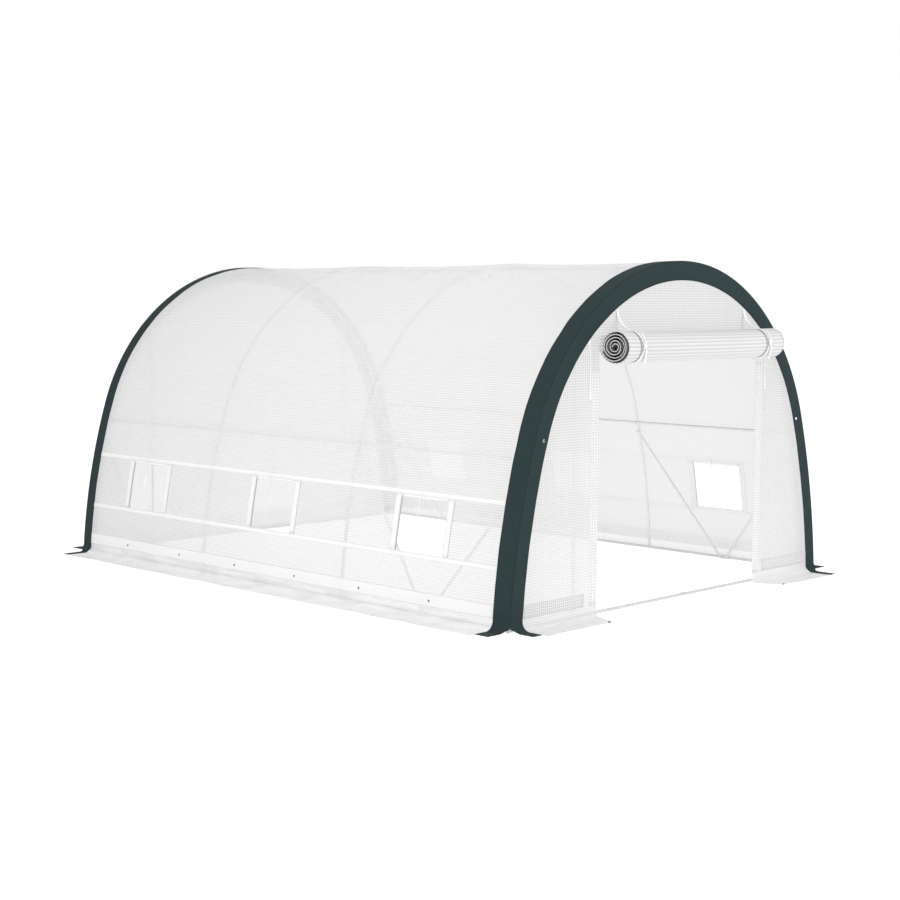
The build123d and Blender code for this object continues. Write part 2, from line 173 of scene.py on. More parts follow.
class ShaderBench:
    """The node tree of one material or world, and the few ways of adding to it."""

    def __init__(self, owner: Material | bpy.types.World) -> None:
        """Clear the owner's node tree."""
        owner.use_nodes = True
        self.owner = owner
        self.tree = owner.node_tree
        self.tree.nodes.clear()

    @classmethod
    def for_material(cls, name: str) -> "ShaderBench":
        """Start a new material."""
        return cls(bpy.data.materials.new(name))

    def node(
        self, kind: str, settings: Mapping[str, object] = {}, inputs: Mapping[str | int, Feed] = {}
    ) -> bpy.types.Node:
        """Add a node.

        Args:
            kind: The node's type name.
            settings: Its properties, which are set first.
            inputs: Values or links by socket identifier, socket name or place.

        Returns:
            The node.
        """
        made = self.tree.nodes.new(kind)
        for key, value in settings.items():
            setattr(made, key, value)
        for key, value in inputs.items():
            self.feed(self.find(made, key), value)
        return made

    @staticmethod
    def find(node: bpy.types.Node, key: str | int) -> Socket:
        """Find an input socket.

        Args:
            node: The node.
            key: The socket's place, its identifier or its name.

        Returns:
            The socket.
        """
        if isinstance(key, int):
            return node.inputs[key]
        exact = [s for s in node.inputs if s.identifier == key]
        return (exact or [s for s in node.inputs if s.name == key])[0]

    def feed(self, socket: Socket, value: Feed) -> None:
        """Link a socket to another, or set its own value.

        Args:
            socket: The input socket.
            value: The link's source, or the value.
        """
        if isinstance(value, Signal):
            value = value.socket
        if isinstance(value, Socket):
            self.tree.links.new(value, socket)
        else:
            socket.default_value = value

    def maths(self, operation: str, *values: Signal | float) -> Signal:
        """Add a Math node on values or numbers."""
        made = self.node("ShaderNodeMath", {"operation": operation}, dict(enumerate(values)))
        return Signal(self, made.outputs[0])

    def weave(self) -> tuple[Signal, Signal]:
        """The two lengths in metres along a sheet, as its mesh keeps them.

        Returns:
            The length across the sheet and the length along it.
        """
        lengths = self.node("ShaderNodeUVMap", {"uv_map": WEAVE_MAP}).outputs[0]
        parts = self.node("ShaderNodeSeparateXYZ", inputs={0: lengths}).outputs
        return Signal(self, parts[0]), Signal(self, parts[1])

    def noise(self, scale: float, detail: float = 2.0, stretch: Floats = (1, 1, 1)) -> Signal:
        """Add noise over the object's own place.

        Args:
            scale: Waves to the metre.
            detail: How many finer waves are added.
            stretch: Scale of each axis.

        Returns:
            The noise, from 0 to 1.
        """
        place = self.node("ShaderNodeTexCoord").outputs["Object"]
        drawn = self.node("ShaderNodeVectorMath", {"operation": "MULTIPLY"}, {0: place, 1: stretch})
        settings = {"Vector": drawn.outputs[0], "Scale": scale, "Detail": detail}
        return Signal(self, self.node("ShaderNodeTexNoise", inputs=settings).outputs[0])

    def ray(self, kind: str) -> Signal:
        """1 for rays of a kind, such as the camera's, and 0 for all others."""
        return Signal(self, self.node("ShaderNodeLightPath").outputs[kind])

    def inner(self) -> Signal:
        """1 on the inner side of a sheet."""
        return Signal(self, self.node("ShaderNodeNewGeometry").outputs["Backfacing"])

    def shown(self, passed: float) -> Signal:
        """1 for what the camera sees, and less where a share of other light is let through."""
        return self.ray("Is Camera Ray") * passed + (1 - passed)

    def blend(self, share: Feed, first: Feed, second: Feed) -> Socket:
        """Mix two colours by a share of the second."""
        inputs = {"Factor_Float": share, "A_Color": first, "B_Color": second}
        return self.node("ShaderNodeMix", {"data_type": "RGBA"}, inputs).outputs["Result"]

    def bump(self, height: Signal, distance: float, strength: float = 1.0) -> Socket:
        """Turn a height from 0 to 1 into a normal, for a height of 1 standing that far out."""
        inputs = {"Height": height, "Distance": distance, "Strength": strength}
        return self.node("ShaderNodeBump", inputs=inputs).outputs[0]

    def principled(
        self, colour: Feed, roughness: Feed, normal: Socket | None = None, rest: Mapping[str, Feed] = {}
    ) -> Socket:
        """Add the main surface shader.

        Args:
            colour: The base colour.
            roughness: The roughness.
            normal: The bumped normal, if there is one.
            rest: Other inputs by name.

        Returns:
            The shader.
        """
        inputs = {"Base Color": colour, "Roughness": roughness, **rest}
        if normal:
            inputs["Normal"] = normal
        return self.node("ShaderNodeBsdfPrincipled", inputs=inputs).outputs[0]

    def mix(self, share: Feed, first: Feed, second: Feed) -> Socket:
        """Mix two shaders by a share of the second."""
        return self.node("ShaderNodeMixShader", inputs={0: share, 1: first, 2: second}).outputs[0]

    def finish(self, shader: Socket) -> Material:
        """Show a shader on the surface and give back the material."""
        self.node("ShaderNodeOutputMaterial", inputs={"Surface": shader})
        return self.owner

    def over_clear(self, share: Feed, shader: Socket) -> Material:
        """Finish with a shader that shows by a share, over what lies behind it."""
        clear = self.node("ShaderNodeBsdfTransparent").outputs[0]
        return self.finish(self.mix(share, clear, shader))


class ColourLayers:
    """A cloth's colour, with painted shade and light laid over it on some sheets, and the light that comes
    through it, mixed side by side in the same shares.
    """

    def __init__(self, bench: ShaderBench, colour: Colour) -> None:
        """Start with one plain colour."""
        self.bench = bench
        self.colour: Feed = colour
        self.glow = self.lit_through(colour)

    def lit_through(self, colour: Colour) -> Socket:
        """Light that comes through the cloth in one plain colour."""
        return self.bench.node("ShaderNodeBsdfTranslucent", inputs={"Color": colour}).outputs[0]

    def over(self, share: Signal, colour: Colour) -> None:
        """Lay a share of another plain colour over both."""
        self.colour = self.bench.blend(share, self.colour, colour)
        self.glow = self.bench.mix(share, self.glow, self.lit_through(colour))


def threads(length: Signal, pitch: float, share: float) -> Signal:
    """Lines across a length: 1 on a thread, which takes a share of each pitch, and 0 between."""
    from_middle = abs((length / pitch).fract() - 0.5)
    return from_middle.ease(share * 0.68, share * 0.32)


@dataclass(frozen=True)
class ReinforcedSheet:
    """Translucent sheet with a square mesh of whiter threads inside."""

    name: str = "reinforced_sheet"
    film: Colour = grey(0.755)
    thread: Colour = grey(0.83)
    pitch: float = 0.01465
    thread_share: float = 0.36
    cross_pitch: float = 0.01465
    cross_strength: float = 0.85
    cross_shade: float = 0.0
    film_cover: float = 0.77
    thread_cover: float = 0.89
    clouding: float = 0.08
    streaks: float = 0.0
    streak_pitch: float = 0.2
    wrinkles: float = 0.0
    # Places along the sheet where a dark line of painted shadow is drawn, as beside the roll's ties.
    creases: tuple[float, ...] = ()
    seams: tuple[float, ...] = ()
    seam_strength: float = 0.35
    light_passed: float = 0.65
    glow_share: float = 0.55
    thread_rise: float = 0.0006
    calm_inside: float = 0.6
    inner_cover: float = 0.55
    inner_white: float = 0.35
    roughness: float = 0.42
    seam_width: float = 0.004
    crease_width: float = 0.005
    line_core: float = 0.0015
    crease_shadow_strength: float = 0.9
    # A mid grey for the hems' seams and the weave's gaps, and for the painted wrinkle shade.
    seam_weave_and_shade_grey: Colour = grey(0.5)
    crease_shadow_colour: Colour = grey(0.1)
    streak_colour: Colour = grey(0.66)
    inner_light_colour: Colour = grey(0.98)

    def material(self) -> Material:
        """Build the material.

        Returns:
            The material.
        """
        bench = ShaderBench.for_material(self.name)
        across, along = bench.weave()
        columns = threads(along, self.cross_pitch, self.thread_share)
        mesh = threads(across, self.pitch, self.thread_share).larger(columns * self.cross_strength)
        mesh = mesh * (1 - bench.inner() * self.calm_inside)
        cloud = bench.noise(3.0, 3.0)
        colour_layers = ColourLayers(bench, self.film)
        colour_layers.over(mesh, self.thread)
        if self.cross_shade:
            colour_layers.over((1 - columns) * self.cross_shade, self.seam_weave_and_shade_grey)
        # Painted shadow: dark lines where the ties squeeze the roll.
        for place in self.creases:
            line = abs(along - place).ease(self.crease_width, self.line_core)
            colour_layers.over(line * self.crease_shadow_strength, self.crease_shadow_colour)
        for place in self.seams:
            line = abs(across - place).ease(self.seam_width, self.line_core)
            colour_layers.over(line * self.seam_strength, self.seam_weave_and_shade_grey)
        if self.streaks:
            # Darker grey streaks in patches.
            streaked = bench.noise(1 / self.streak_pitch, 4.0, (1.0, 1.0, 6.0)).ease(0.35, 0.7)
            colour_layers.over(streaked * self.streaks, self.streak_colour)
        # Painted shade: faint dark wrinkle lines near the ridge.
        if self.wrinkles:
            first = abs(bench.noise(2.3, 2.0, (1.0, 1.4, 1.0)) - 0.5).ease(0.022, 0.0)
            second = abs(bench.noise(4.6, 1.0, (0.7, 1.0, 2.0)) - 0.5).ease(0.03, 0.0) * 0.7
            near_ridge = abs(across).ease(0.85, 0.1)
            colour_layers.over(first.larger(second) * near_ridge * self.wrinkles, self.seam_weave_and_shade_grey)
        cover = mesh * (self.thread_cover - self.film_cover)
        cover = cover + (cloud - 0.5) * self.clouding + self.film_cover
        cover = cover + (1 - cover) * bench.inner() * self.inner_cover
        # Painted light: the sheet's inner side is made whiter, as if more light reached it.
        if self.inner_white:
            colour_layers.over(bench.inner() * self.inner_white, self.inner_light_colour)
        normal = bench.bump(mesh + bench.noise(60.0) * 0.25, self.thread_rise)
        roughness = cloud * 0.2 + (self.roughness - 0.1)
        face = bench.principled(colour_layers.colour, roughness, normal, {"Specular IOR Level": 0.3})
        cover = cover * bench.shown(self.light_passed)
        return bench.over_clear(cover, bench.mix(self.glow_share, face, colour_layers.glow))


@dataclass(frozen=True)
class TrimCloth:
    """Dark green-grey woven cloth with a darker seam along its fold, partly stitching and partly painted
    shade, and hems along its edges.
    """

    name: str = "edge_trim_cloth"
    cloth: Colour = (0.0163, 0.0312, 0.0325, 1)
    thread: Colour = (0.0285, 0.0482, 0.0495, 1)
    seam: Colour = (0.012, 0.024, 0.025, 1)
    pitch: float = 0.0022
    seam_width: float = 0.004
    hem: float = 0.009
    stitch: float = 0.006
    fold_at: float = 0.1
    width: float = 0.227
    light_passed: float = 0.6

    def material(self) -> Material:
        """Build the material.

        Returns:
            The material.
        """
        bench = ShaderBench.for_material(self.name)
        across, along = bench.weave()
        weave = threads(across, self.pitch, 0.7) * 0.5 + threads(along, self.pitch, 0.7) * 0.5
        patches = bench.noise(9.0, 4.0)
        colour = bench.blend(weave * 0.6 + patches * 0.4, self.cloth, self.thread)
        # The fold's seam line is darker: partly its stitching, partly painted shade in the fold.
        seam = abs(across - self.fold_at).ease(self.seam_width, self.seam_width * 0.35)
        edge = abs(abs(across - self.width / 2) - (self.width / 2 - self.hem))
        stitches = edge.ease(0.0016, 0.0008) * threads(along, self.stitch, 0.75)
        colour = bench.blend((seam * 0.5).larger(stitches * 0.5), colour, self.seam)
        height = weave * 0.5 + stitches * 0.5 - seam * 0.5 + bench.noise(30.0, 3.0)
        roughness, normal = patches * 0.2 + 0.55, bench.bump(height, 0.0008)
        face = bench.principled(colour, roughness, normal, {"Specular IOR Level": 0.12})
        return bench.over_clear(bench.shown(self.light_passed), face)


@dataclass(frozen=True)
class SewnTape:
    """White woven tape, sewn down along both edges."""

    name: str = "sewn_tape"
    cloth: Colour = grey(0.91)
    thread: Colour = grey(0.94)
    stitch_and_edge_shade_colour: Colour = grey(0.62)
    pitch: float = 0.0025
    stitch: float = 0.005
    margin: float = 0.004
    glow_share: float = 0.5
    cover: float = 0.97
    sheen: float = 0.07
    light_passed: float = 0.85

    def material(self) -> Material:
        """Build the material.

        Returns:
            The material.
        """
        bench = ShaderBench.for_material(self.name)
        across, along = bench.weave()
        weave = threads(across, self.pitch, 0.7) * 0.5 + threads(along, self.pitch, 0.7) * 0.5
        stitches = abs(across - self.margin).ease(0.0014, 0.0006) * threads(along, self.stitch, 0.7)
        patches = bench.noise(14.0, 3.0)
        colour_layers = ColourLayers(bench, self.cloth)
        colour_layers.over(weave * 0.6 + patches * 0.4, self.thread)
        # The stitch line near the tape's edge is real stitching, darkened further as painted shade along
        # that edge.
        colour_layers.over(stitches * 0.7, self.stitch_and_edge_shade_colour)
        normal = bench.bump(weave * 0.4 - stitches + patches, 0.0008)
        # Painted light: a faint glow in the tape's own colour keeps it bright.
        rest = {"Specular IOR Level": 0.25, "Emission Color": colour_layers.colour, "Emission Strength": self.sheen}
        face = bench.principled(colour_layers.colour, patches * 0.2 + 0.6, normal, rest)
        share = weave * (1 - self.cover) * 0.5 + (self.cover - 0.03)
        share = share * bench.shown(self.light_passed)
        return bench.over_clear(share, bench.mix(self.glow_share, face, colour_layers.glow))


@dataclass(frozen=True)
class FineNet:
    """Fine white net with open meshes."""

    name: str = "window_net"
    dull: Colour = grey(0.84)
    thread: Colour = grey(0.94)
    pitch: float = 0.0024
    share: float = 0.3
    cover: float = 0.42
    glow_share: float = 0.5

    def material(self) -> Material:
        """Build the material.

        Returns:
            The material.
        """
        bench = ShaderBench.for_material(self.name)
        across, along = bench.weave()
        mesh = threads(across, self.pitch, self.share).larger(threads(along, self.pitch, self.share))
        uneven = bench.noise(25.0, 2.0, (1, 4, 0.4))
        colour_layers = ColourLayers(bench, self.dull)
        colour_layers.over(uneven, self.thread)
        face = bench.principled(colour_layers.colour, uneven * 0.2 + 0.5)
        cover = mesh * (uneven * 0.3 + self.cover)
        return bench.over_clear(cover, bench.mix(self.glow_share, face, colour_layers.glow))


@dataclass(frozen=True)
class StrapWebbing:
    """White flat strap with a fine rib."""

    name: str = "tie_strap"
    low: Colour = grey(0.92)
    high: Colour = grey(0.99)
    rib: float = 0.003

    def material(self) -> Material:
        """Build the material.

        Returns:
            The material.
        """
        bench = ShaderBench.for_material(self.name)
        across, along = bench.weave()
        ribs = threads(along + across * 0.6, self.rib, 0.6)
        patches = bench.noise(40.0, 2.0)
        colour = bench.blend(ribs * 0.5 + patches * 0.5, self.low, self.high)
        roughness, normal = patches * 0.2 + 0.55, bench.bump(ribs, 0.0004)
        return bench.finish(bench.principled(colour, roughness, normal, {"Specular IOR Level": 0.3}))


@dataclass(frozen=True)
class GalvanisedSteel:
    """Dull zinc-coated steel with a faint spangle and brighter worn streaks."""

    name: str = "galvanised_tube"
    dark: Colour = grey(0.58)
    light: Colour = grey(0.77)
    spangle: float = 90.0
    roughness: float = 0.38
    light_passed: float = 0.85

    def material(self) -> Material:
        """Build the material.

        Returns:
            The material.
        """
        bench = ShaderBench.for_material(self.name)
        grains = bench.noise(self.spangle, 3.0)
        streaks = bench.noise(6.0, 4.0)
        colour = bench.blend(grains * 0.5 + streaks * 0.5, self.dark, self.light)
        roughness = streaks * 0.25 + (self.roughness - 0.12)
        face = bench.principled(colour, roughness, bench.bump(grains, 0.0002), {"Metallic": 0.35})
        return bench.over_clear(bench.shown(self.light_passed), face)


@dataclass(frozen=True)
class DarkOpening:
    """The shaded hole of an eyelet."""

    name: str = "eyelet_hole"
    colour: Colour = grey(0.10)
    shade_speckle: Colour = grey(0.12)

    def material(self) -> Material:
        """Build the material.

        Returns:
            The material.
        """
        bench = ShaderBench.for_material(self.name)
        # The hole's dark colour is painted shade, with a faint lighter speckle.
        colour = bench.blend(bench.noise(200.0), self.colour, self.shade_speckle)
        return bench.finish(bench.principled(colour, 0.8))


Finish = ReinforcedSheet | TrimCloth | SewnTape | FineNet | StrapWebbing | GalvanisedSteel | DarkOpening
# What a sheet has where several turns lie on each other.
OPAQUE = {
    "film_cover": 1.0, "thread_cover": 1.0, "clouding": 0.0, "light_passed": 0.0, "inner_white": 0.0
}


def made(finish: type[Finish], *name: str, **values: object) -> Material:
    """A field that holds a finish's material, built with the rest."""
    return field(default_factory=finish(*name, **values).material)


@dataclass(frozen=True)
class Finishes:
    """Every material of the tunnel, made once."""

    # The roof's wrinkle lines near the ridge are painted shade.
    sheet: Material = made(ReinforcedSheet, wrinkles=0.28)
    wall: Material = made(
        ReinforcedSheet, "wall_sheet", cross_shade=0.11, film_cover=0.72, thread_cover=0.88
    )
    gable: Material = made(
        ReinforcedSheet, "gable_sheet", film=grey(0.775), thread=grey(0.855), cross_pitch=0.0168,
        cross_shade=0.085, film_cover=0.8, thread_cover=0.92
    )
    hem: Material = made(
        ReinforcedSheet, "hemmed_sheet", film=grey(0.84), thread=grey(0.92), cross_pitch=0.0168,
        film_cover=0.7, seams=(0.024, 0.048), light_passed=0.85
    )
    foot: Material = made(
        ReinforcedSheet, "foot_sheet", film=grey(0.73), thread=grey(0.84), cross_pitch=0.0168,
        cross_shade=0.14, film_cover=0.6, thread_cover=0.8, light_passed=0.85
    )
    # Painted light makes the ground skirts' inner side much whiter.
    ground: Material = made(
        ReinforcedSheet, "ground_sheet", film=grey(0.79), thread=grey(0.87), film_cover=0.82,
        glow_share=0.3, streaks=0.7, light_passed=0.85, inner_white=0.8
    )
    apron: Material = made(
        ReinforcedSheet, "apron_sheet", film=grey(0.7), thread=grey(0.78), cross_shade=0.08,
        film_cover=0.85, glow_share=0.2, streaks=1.0, streak_pitch=0.07, light_passed=0.85
    )
    # The roll's dark lines beside its ties are painted shadow.
    rolled: Material = made(
        ReinforcedSheet, "rolled_sheet", film=grey(0.66), thread=grey(0.83), pitch=0.0213,
        thread_share=0.6, cross_strength=0.1, creases=(-0.632, 0.608), glow_share=0.1,
        thread_rise=0.0010, **OPAQUE
    )
    # Painted shade: dark grey for the window strips' rims and for the thin strip along each window's back
    # edge.
    edge: Material = made(
        SewnTape, "tape_edge_shade", cloth=grey(0.46), thread=grey(0.54), glow_share=0.3, sheen=0.0
    )
    shade: Material = made(
        ReinforcedSheet, "shaded_turns", film=grey(0.10), thread=grey(0.16), glow_share=0.0, **OPAQUE
    )
    trim: Material = made(TrimCloth)
    tape: Material = made(SewnTape)
    net: Material = made(FineNet)
    strap: Material = made(StrapWebbing)
    steel: Material = made(GalvanisedSteel)
    hole: Material = made(DarkOpening)


def smooth(low: float, high: float, values: Array) -> Array:
    """Rise from 0 to 1 as values go from low to high, or fall where low is the larger."""
    share = np.clip((values - low) / (high - low), 0, 1)
    return share * share * (3 - 2 * share)


def divided(low: float, high: float, step: float, marks: Floats = ()) -> Array:
    """Places from low to high about a step apart, with some marks among them.

    Args:
        low: First place.
        high: Last place.
        step: Longest step.
        marks: Places that must be there.

    Returns:
        The places in order.
    """
    stops = sorted({low, high, *(m for m in marks if low < m < high)})
    spans = [
        np.linspace(a, b, max(2, math.ceil((b - a) / step) + 1))[:-1] for a, b in zip(stops, stops[1:])
    ]
    return np.append(np.concatenate(spans), high)


def rounded(corners: Sequence[Floats], radius: float, step: float = 0.012) -> Array:
    """Follow straight runs whose corners are rounded off.

    Args:
        corners: The line's corners, in a plane.
        radius: Radius of the rounded corners.
        step: About how far apart the points are.

    Returns:
        Points along the line.
    """
    spots = [np.array(c, float) for c in corners]
    line = [spots[0]]
    for before, corner, after in zip(spots, spots[1:], spots[2:]):
        back = (before - corner) / np.linalg.norm(before - corner)
        ahead = (after - corner) / np.linalg.norm(after - corner)
        half = math.acos(np.clip(back @ ahead, -1, 1)) / 2
        reach = radius / math.tan(half)
        middle = (back + ahead) / np.linalg.norm(back + ahead)
        centre = corner + middle * radius / math.sin(half)
        start, end = corner + back * reach - centre, corner + ahead * reach - centre
        turn = math.pi - 2 * half
        for share in np.linspace(0, 1, max(4, math.ceil(radius * turn / step)) + 1):
            swing = start * math.sin((1 - share) * turn) + end * math.sin(share * turn)
            line.append(centre + swing / math.sin(turn))
    line.append(spots[-1])
    filled = [line[0]]
    for a, b in zip(line, line[1:]):
        for share in np.linspace(0, 1, max(1, math.ceil(np.linalg.norm(b - a) / step)) + 1)[1:]:
            filled.append(a + (b - a) * share)
    return np.array(filled)


def stacked(*parts: Array | float) -> Array:
    """Join coordinates into points, each spread over the shape of all."""
    return np.stack(np.broadcast_arrays(*parts), axis=-1)


def run_lengths(line: Array) -> Array:
    """The length along a line at each of its points."""
    return np.append(0.0, np.cumsum(np.linalg.norm(np.diff(line, axis=0), axis=1)))


def eased_line(knots: Sequence[Floats], count: int) -> Array:
    """Pass a smooth line through a few points.

    Args:
        knots: The points.
        count: How many points the line has.

    Returns:
        Points along the line.
    """
    spots = np.array(knots, float)
    padded = np.vstack([2 * spots[0] - spots[1], spots, 2 * spots[-1] - spots[-2]])
    places = np.linspace(0, len(spots) - 1 - 1e-9, count)
    start = places.astype(int)
    t = (places - start)[:, None]
    p0, p1, p2, p3 = (padded[start + n] for n in range(4))
    return 0.5 * (
        2 * p1 + (p2 - p0) * t + (2 * p0 - 5 * p1 + 4 * p2 - p3) * t**2 + (3 * p1 - p0 - 3 * p2 + p3) * t**3
    )


class MeshSketch:
    """Points, faces and sheet lengths that become one mesh."""

    def __init__(self) -> None:
        """Start with nothing."""
        self.points: list[Array] = []
        self.lengths: list[Array] = []
        self.faces: list[list[int]] = []
        self.finishes: list[int] = []
        self.count = 0

    def grid(
        self, points: Array, lengths: Array, keep: Array | None = None, wrap: bool = False, finish: int = 0
    ) -> Array:
        """Add a grid of quads.

        Args:
            points: Rows by columns by three.
            lengths: Rows by columns by two, the weave's lengths.
            keep: Which quads are kept, all by default.
            wrap: Whether the last column joins the first.
            finish: Place of the grid's material on the piece.

        Returns:
            The number of each point, rows by columns.
        """
        rows, columns = points.shape[:2]
        index = self.count + np.arange(rows * columns).reshape(rows, columns)
        ring = np.concatenate([index, index[:, :1]], axis=1) if wrap else index
        quads = np.stack([ring[:-1, :-1], ring[1:, :-1], ring[1:, 1:], ring[:-1, 1:]], axis=-1)
        quads = quads.reshape(-1, 4) if keep is None else quads[keep]
        self.faces += quads.tolist()
        self.finishes += [finish] * len(quads)
        self.points.append(points.reshape(-1, 3))
        self.lengths.append(lengths.reshape(-1, 2))
        self.count += rows * columns
        return index

    def sweep(self, path: Array, section: Array, across: Floats | Array, finish: int = 0) -> None:
        """Carry a closed section along a path and close both ends.

        Args:
            path: Points of the path.
            section: Points of the section, along the across direction and square to it.
            across: The section's first direction, one for all or one for each point.
            finish: Place of the material on the piece.
        """
        ahead = np.gradient(path, axis=0)
        ahead /= np.linalg.norm(ahead, axis=1, keepdims=True)
        wide = np.broadcast_to(np.asarray(across, float), path.shape)
        wide = wide - (wide * ahead).sum(axis=1, keepdims=True) * ahead
        wide = wide / np.linalg.norm(wide, axis=1, keepdims=True)
        thick = np.cross(ahead, wide)
        points = path[:, None] + section[None, :, :1] * wide[:, None]
        points = points + section[None, :, 1:] * thick[:, None]
        along = np.broadcast_to(run_lengths(path)[:, None], points.shape[:2])
        round_it = np.broadcast_to(run_lengths(section)[None, :], points.shape[:2])
        index = self.grid(points, np.stack([round_it, along], axis=-1), wrap=True, finish=finish)
        self.faces += [index[0].tolist(), index[-1, ::-1].tolist()]
        self.finishes += [finish] * 2

    def lathe(
        self, profile: Sequence[Floats], centre: Floats, axis: Floats, sides: int = 20, finish: int = 0
    ) -> None:
        """Turn a profile about an axis.

        Args:
            profile: Radius and height pairs.
            centre: Where height 0 is.
            axis: The direction of height.
            sides: How many sides a turn has.
            finish: Place of the material on the piece.
        """
        up = Vector(axis).normalized()
        aside = np.array(up.orthogonal().normalized())
        ahead = np.cross(np.array(up), aside)
        turn = np.linspace(0, 2 * math.pi, sides, endpoint=False)
        ring = np.cos(turn)[:, None] * aside + np.sin(turn)[:, None] * ahead
        shape = np.array(profile, float)
        points = np.array(centre) + shape[:, :1, None] * ring[None] + shape[:, 1:, None] * np.array(up)
        self.grid(points, np.zeros((*points.shape[:2], 2)), wrap=True, finish=finish)

    def piece(self, name: str, sharp: float = 40.0) -> Thing:
        """Make the mesh and its object.

        Args:
            name: The piece's name.
            sharp: Edges that turn by more degrees than this stay sharp.

        Returns:
            The object, linked to the scene.
        """
        mesh = bpy.data.meshes.new(name)
        mesh.from_pydata(np.concatenate(self.points).tolist(), [], self.faces)
        mesh.polygons.foreach_set("material_index", self.finishes)
        corners = np.zeros(len(mesh.loops), np.int32)
        mesh.loops.foreach_get("vertex_index", corners)
        layer = mesh.uv_layers.new(name=WEAVE_MAP)
        layer.data.foreach_set("uv", np.concatenate(self.lengths)[corners].astype(np.float32).ravel())
        work = bmesh.new()
        work.from_mesh(mesh)
        bmesh.ops.remove_doubles(work, verts=work.verts, dist=1e-6)
        bmesh.ops.delete(work, geom=[v for v in work.verts if not v.link_faces], context="VERTS")
        bmesh.ops.recalc_face_normals(work, faces=work.faces)
        work.to_mesh(mesh)
        work.free()
        mesh.polygons.foreach_set("use_smooth", [True] * len(mesh.polygons))
        mesh.set_sharp_from_angle(angle=math.radians(sharp))
        made = bpy.data.objects.new(name, mesh)
        bpy.context.scene.collection.objects.link(made)
        return made


@dataclass(frozen=True)
class ArchProfile:
    """The tunnel's section: a leg arc that runs tangent into a crown arc.

    Arc lengths start at the ridge and run down the right side, so the left side is negative.
    """

    half_width: float
    height: float
    leg_lean: float = math.radians(3.63)
    shoulder_lean: float = math.radians(18.17)

    @cached_property
    def leg_radius(self) -> float:
        """Radius of the leg arcs."""
        lean, shoulder = self.leg_lean, self.shoulder_lean
        room = 1 - math.sin(shoulder)
        spread = math.cos(lean) - math.cos(shoulder)
        ratio = spread * room - math.cos(shoulder) * (math.sin(shoulder) - math.sin(lean))
        return (self.half_width * room - self.height * math.cos(shoulder)) / ratio

    @cached_property
    def leg_centre(self) -> tuple[float, float]:
        """Centre of the right leg's arc."""
        radius = self.leg_radius
        return self.half_width - radius * math.cos(self.leg_lean), -radius * math.sin(self.leg_lean)

    @cached_property
    def crown_radius(self) -> float:
        """Radius of the crown arc."""
        return self.leg_radius + self.leg_centre[0] / math.cos(self.shoulder_lean)

    @cached_property
    def crown_z(self) -> float:
        """Height of the crown arc's centre."""
        return self.height - self.crown_radius

    @cached_property
    def crown_run(self) -> float:
        """Arc length from the ridge to the shoulder."""
        return self.crown_radius * (math.pi / 2 - self.shoulder_lean)

    def place(self, arc: Array, inset: Array | float = 0.0) -> tuple[Array, Array]:
        """Find points of the section.

        Args:
            arc: Arc lengths from the ridge along the outer face.
            inset: How far inside the outer face.

        Returns:
            The points' X and Z.
        """
        far = np.abs(arc)
        crown = far <= self.crown_run
        turn = np.where(
            crown,
            math.pi / 2 - far / self.crown_radius,
            self.shoulder_lean - (far - self.crown_run) / self.leg_radius,
        )
        radius = np.where(crown, self.crown_radius, self.leg_radius) - inset
        x = np.where(crown, 0.0, self.leg_centre[0]) + radius * np.cos(turn)
        z = np.where(crown, self.crown_z, self.leg_centre[1]) + radius * np.sin(turn)
        return np.where(arc < 0, -x, x), z

    def arc_at(self, z: float) -> float:
        """Find a height on the right side.

        Args:
            z: The height.

        Returns:
            The arc length from the ridge down to it.
        """
        rise = (z - self.crown_z) / self.crown_radius
        if rise > math.sin(self.shoulder_lean):
            return self.crown_radius * (math.pi / 2 - math.asin(min(1.0, rise)))
        turn = math.asin((z - self.leg_centre[1]) / self.leg_radius)
        return self.crown_run + self.leg_radius * (self.shoulder_lean - turn)

    def half_width_at(self, z: Array | float, inset: float = 0.0) -> Array:
        """Find the section's width.

        Args:
            z: Heights.
            inset: How far inside the outer face.

        Returns:
            Half the width at each height.
        """
        crown, leg = self.crown_radius - inset, self.leg_radius - inset
        level = np.asarray(z, float)
        on_crown = np.sqrt(np.maximum(crown**2 - (level - self.crown_z) ** 2, 0))
        on_leg = self.leg_centre[0] + np.sqrt(leg**2 - (level - self.leg_centre[1]) ** 2)
        return np.where(level > self.crown_z + crown * math.sin(self.shoulder_lean), on_crown, on_leg)

    def height_at(self, x: Array | float, inset: float = 0.0) -> Array:
        """Height of the crown at a distance from the middle, inside the outer face by an inset."""
        return self.crown_z + np.sqrt(np.maximum((self.crown_radius - inset) ** 2 - np.asarray(x) ** 2, 0))

    def area(self, low: float, high: float, inset: float = 0.0) -> float:
        """Area of the section between two heights."""
        levels = np.linspace(low, high, 400)
        return float(2 * self.half_width_at(levels, inset).mean() * (high - low))


@dataclass(frozen=True)
class Fold:
    """One soft fold in a sheet, on the sheet's own two lengths."""

    middle: tuple[float, float]
    heading: float
    length: float
    width: float
    depth: float

    def dip(self, first: Array, second: Array) -> Array:
        """Find how deep the fold is.

        Args:
            first: Places on the sheet's first length.
            second: Places on its second length.

        Returns:
            The depth at each place.
        """
        a, b = first - self.middle[0], second - self.middle[1]
        along = a * math.cos(self.heading) + b * math.sin(self.heading)
        aside = b * math.cos(self.heading) - a * math.sin(self.heading)
        return self.depth * np.exp(-((along / self.length) ** 2) - (aside / self.width) ** 2)


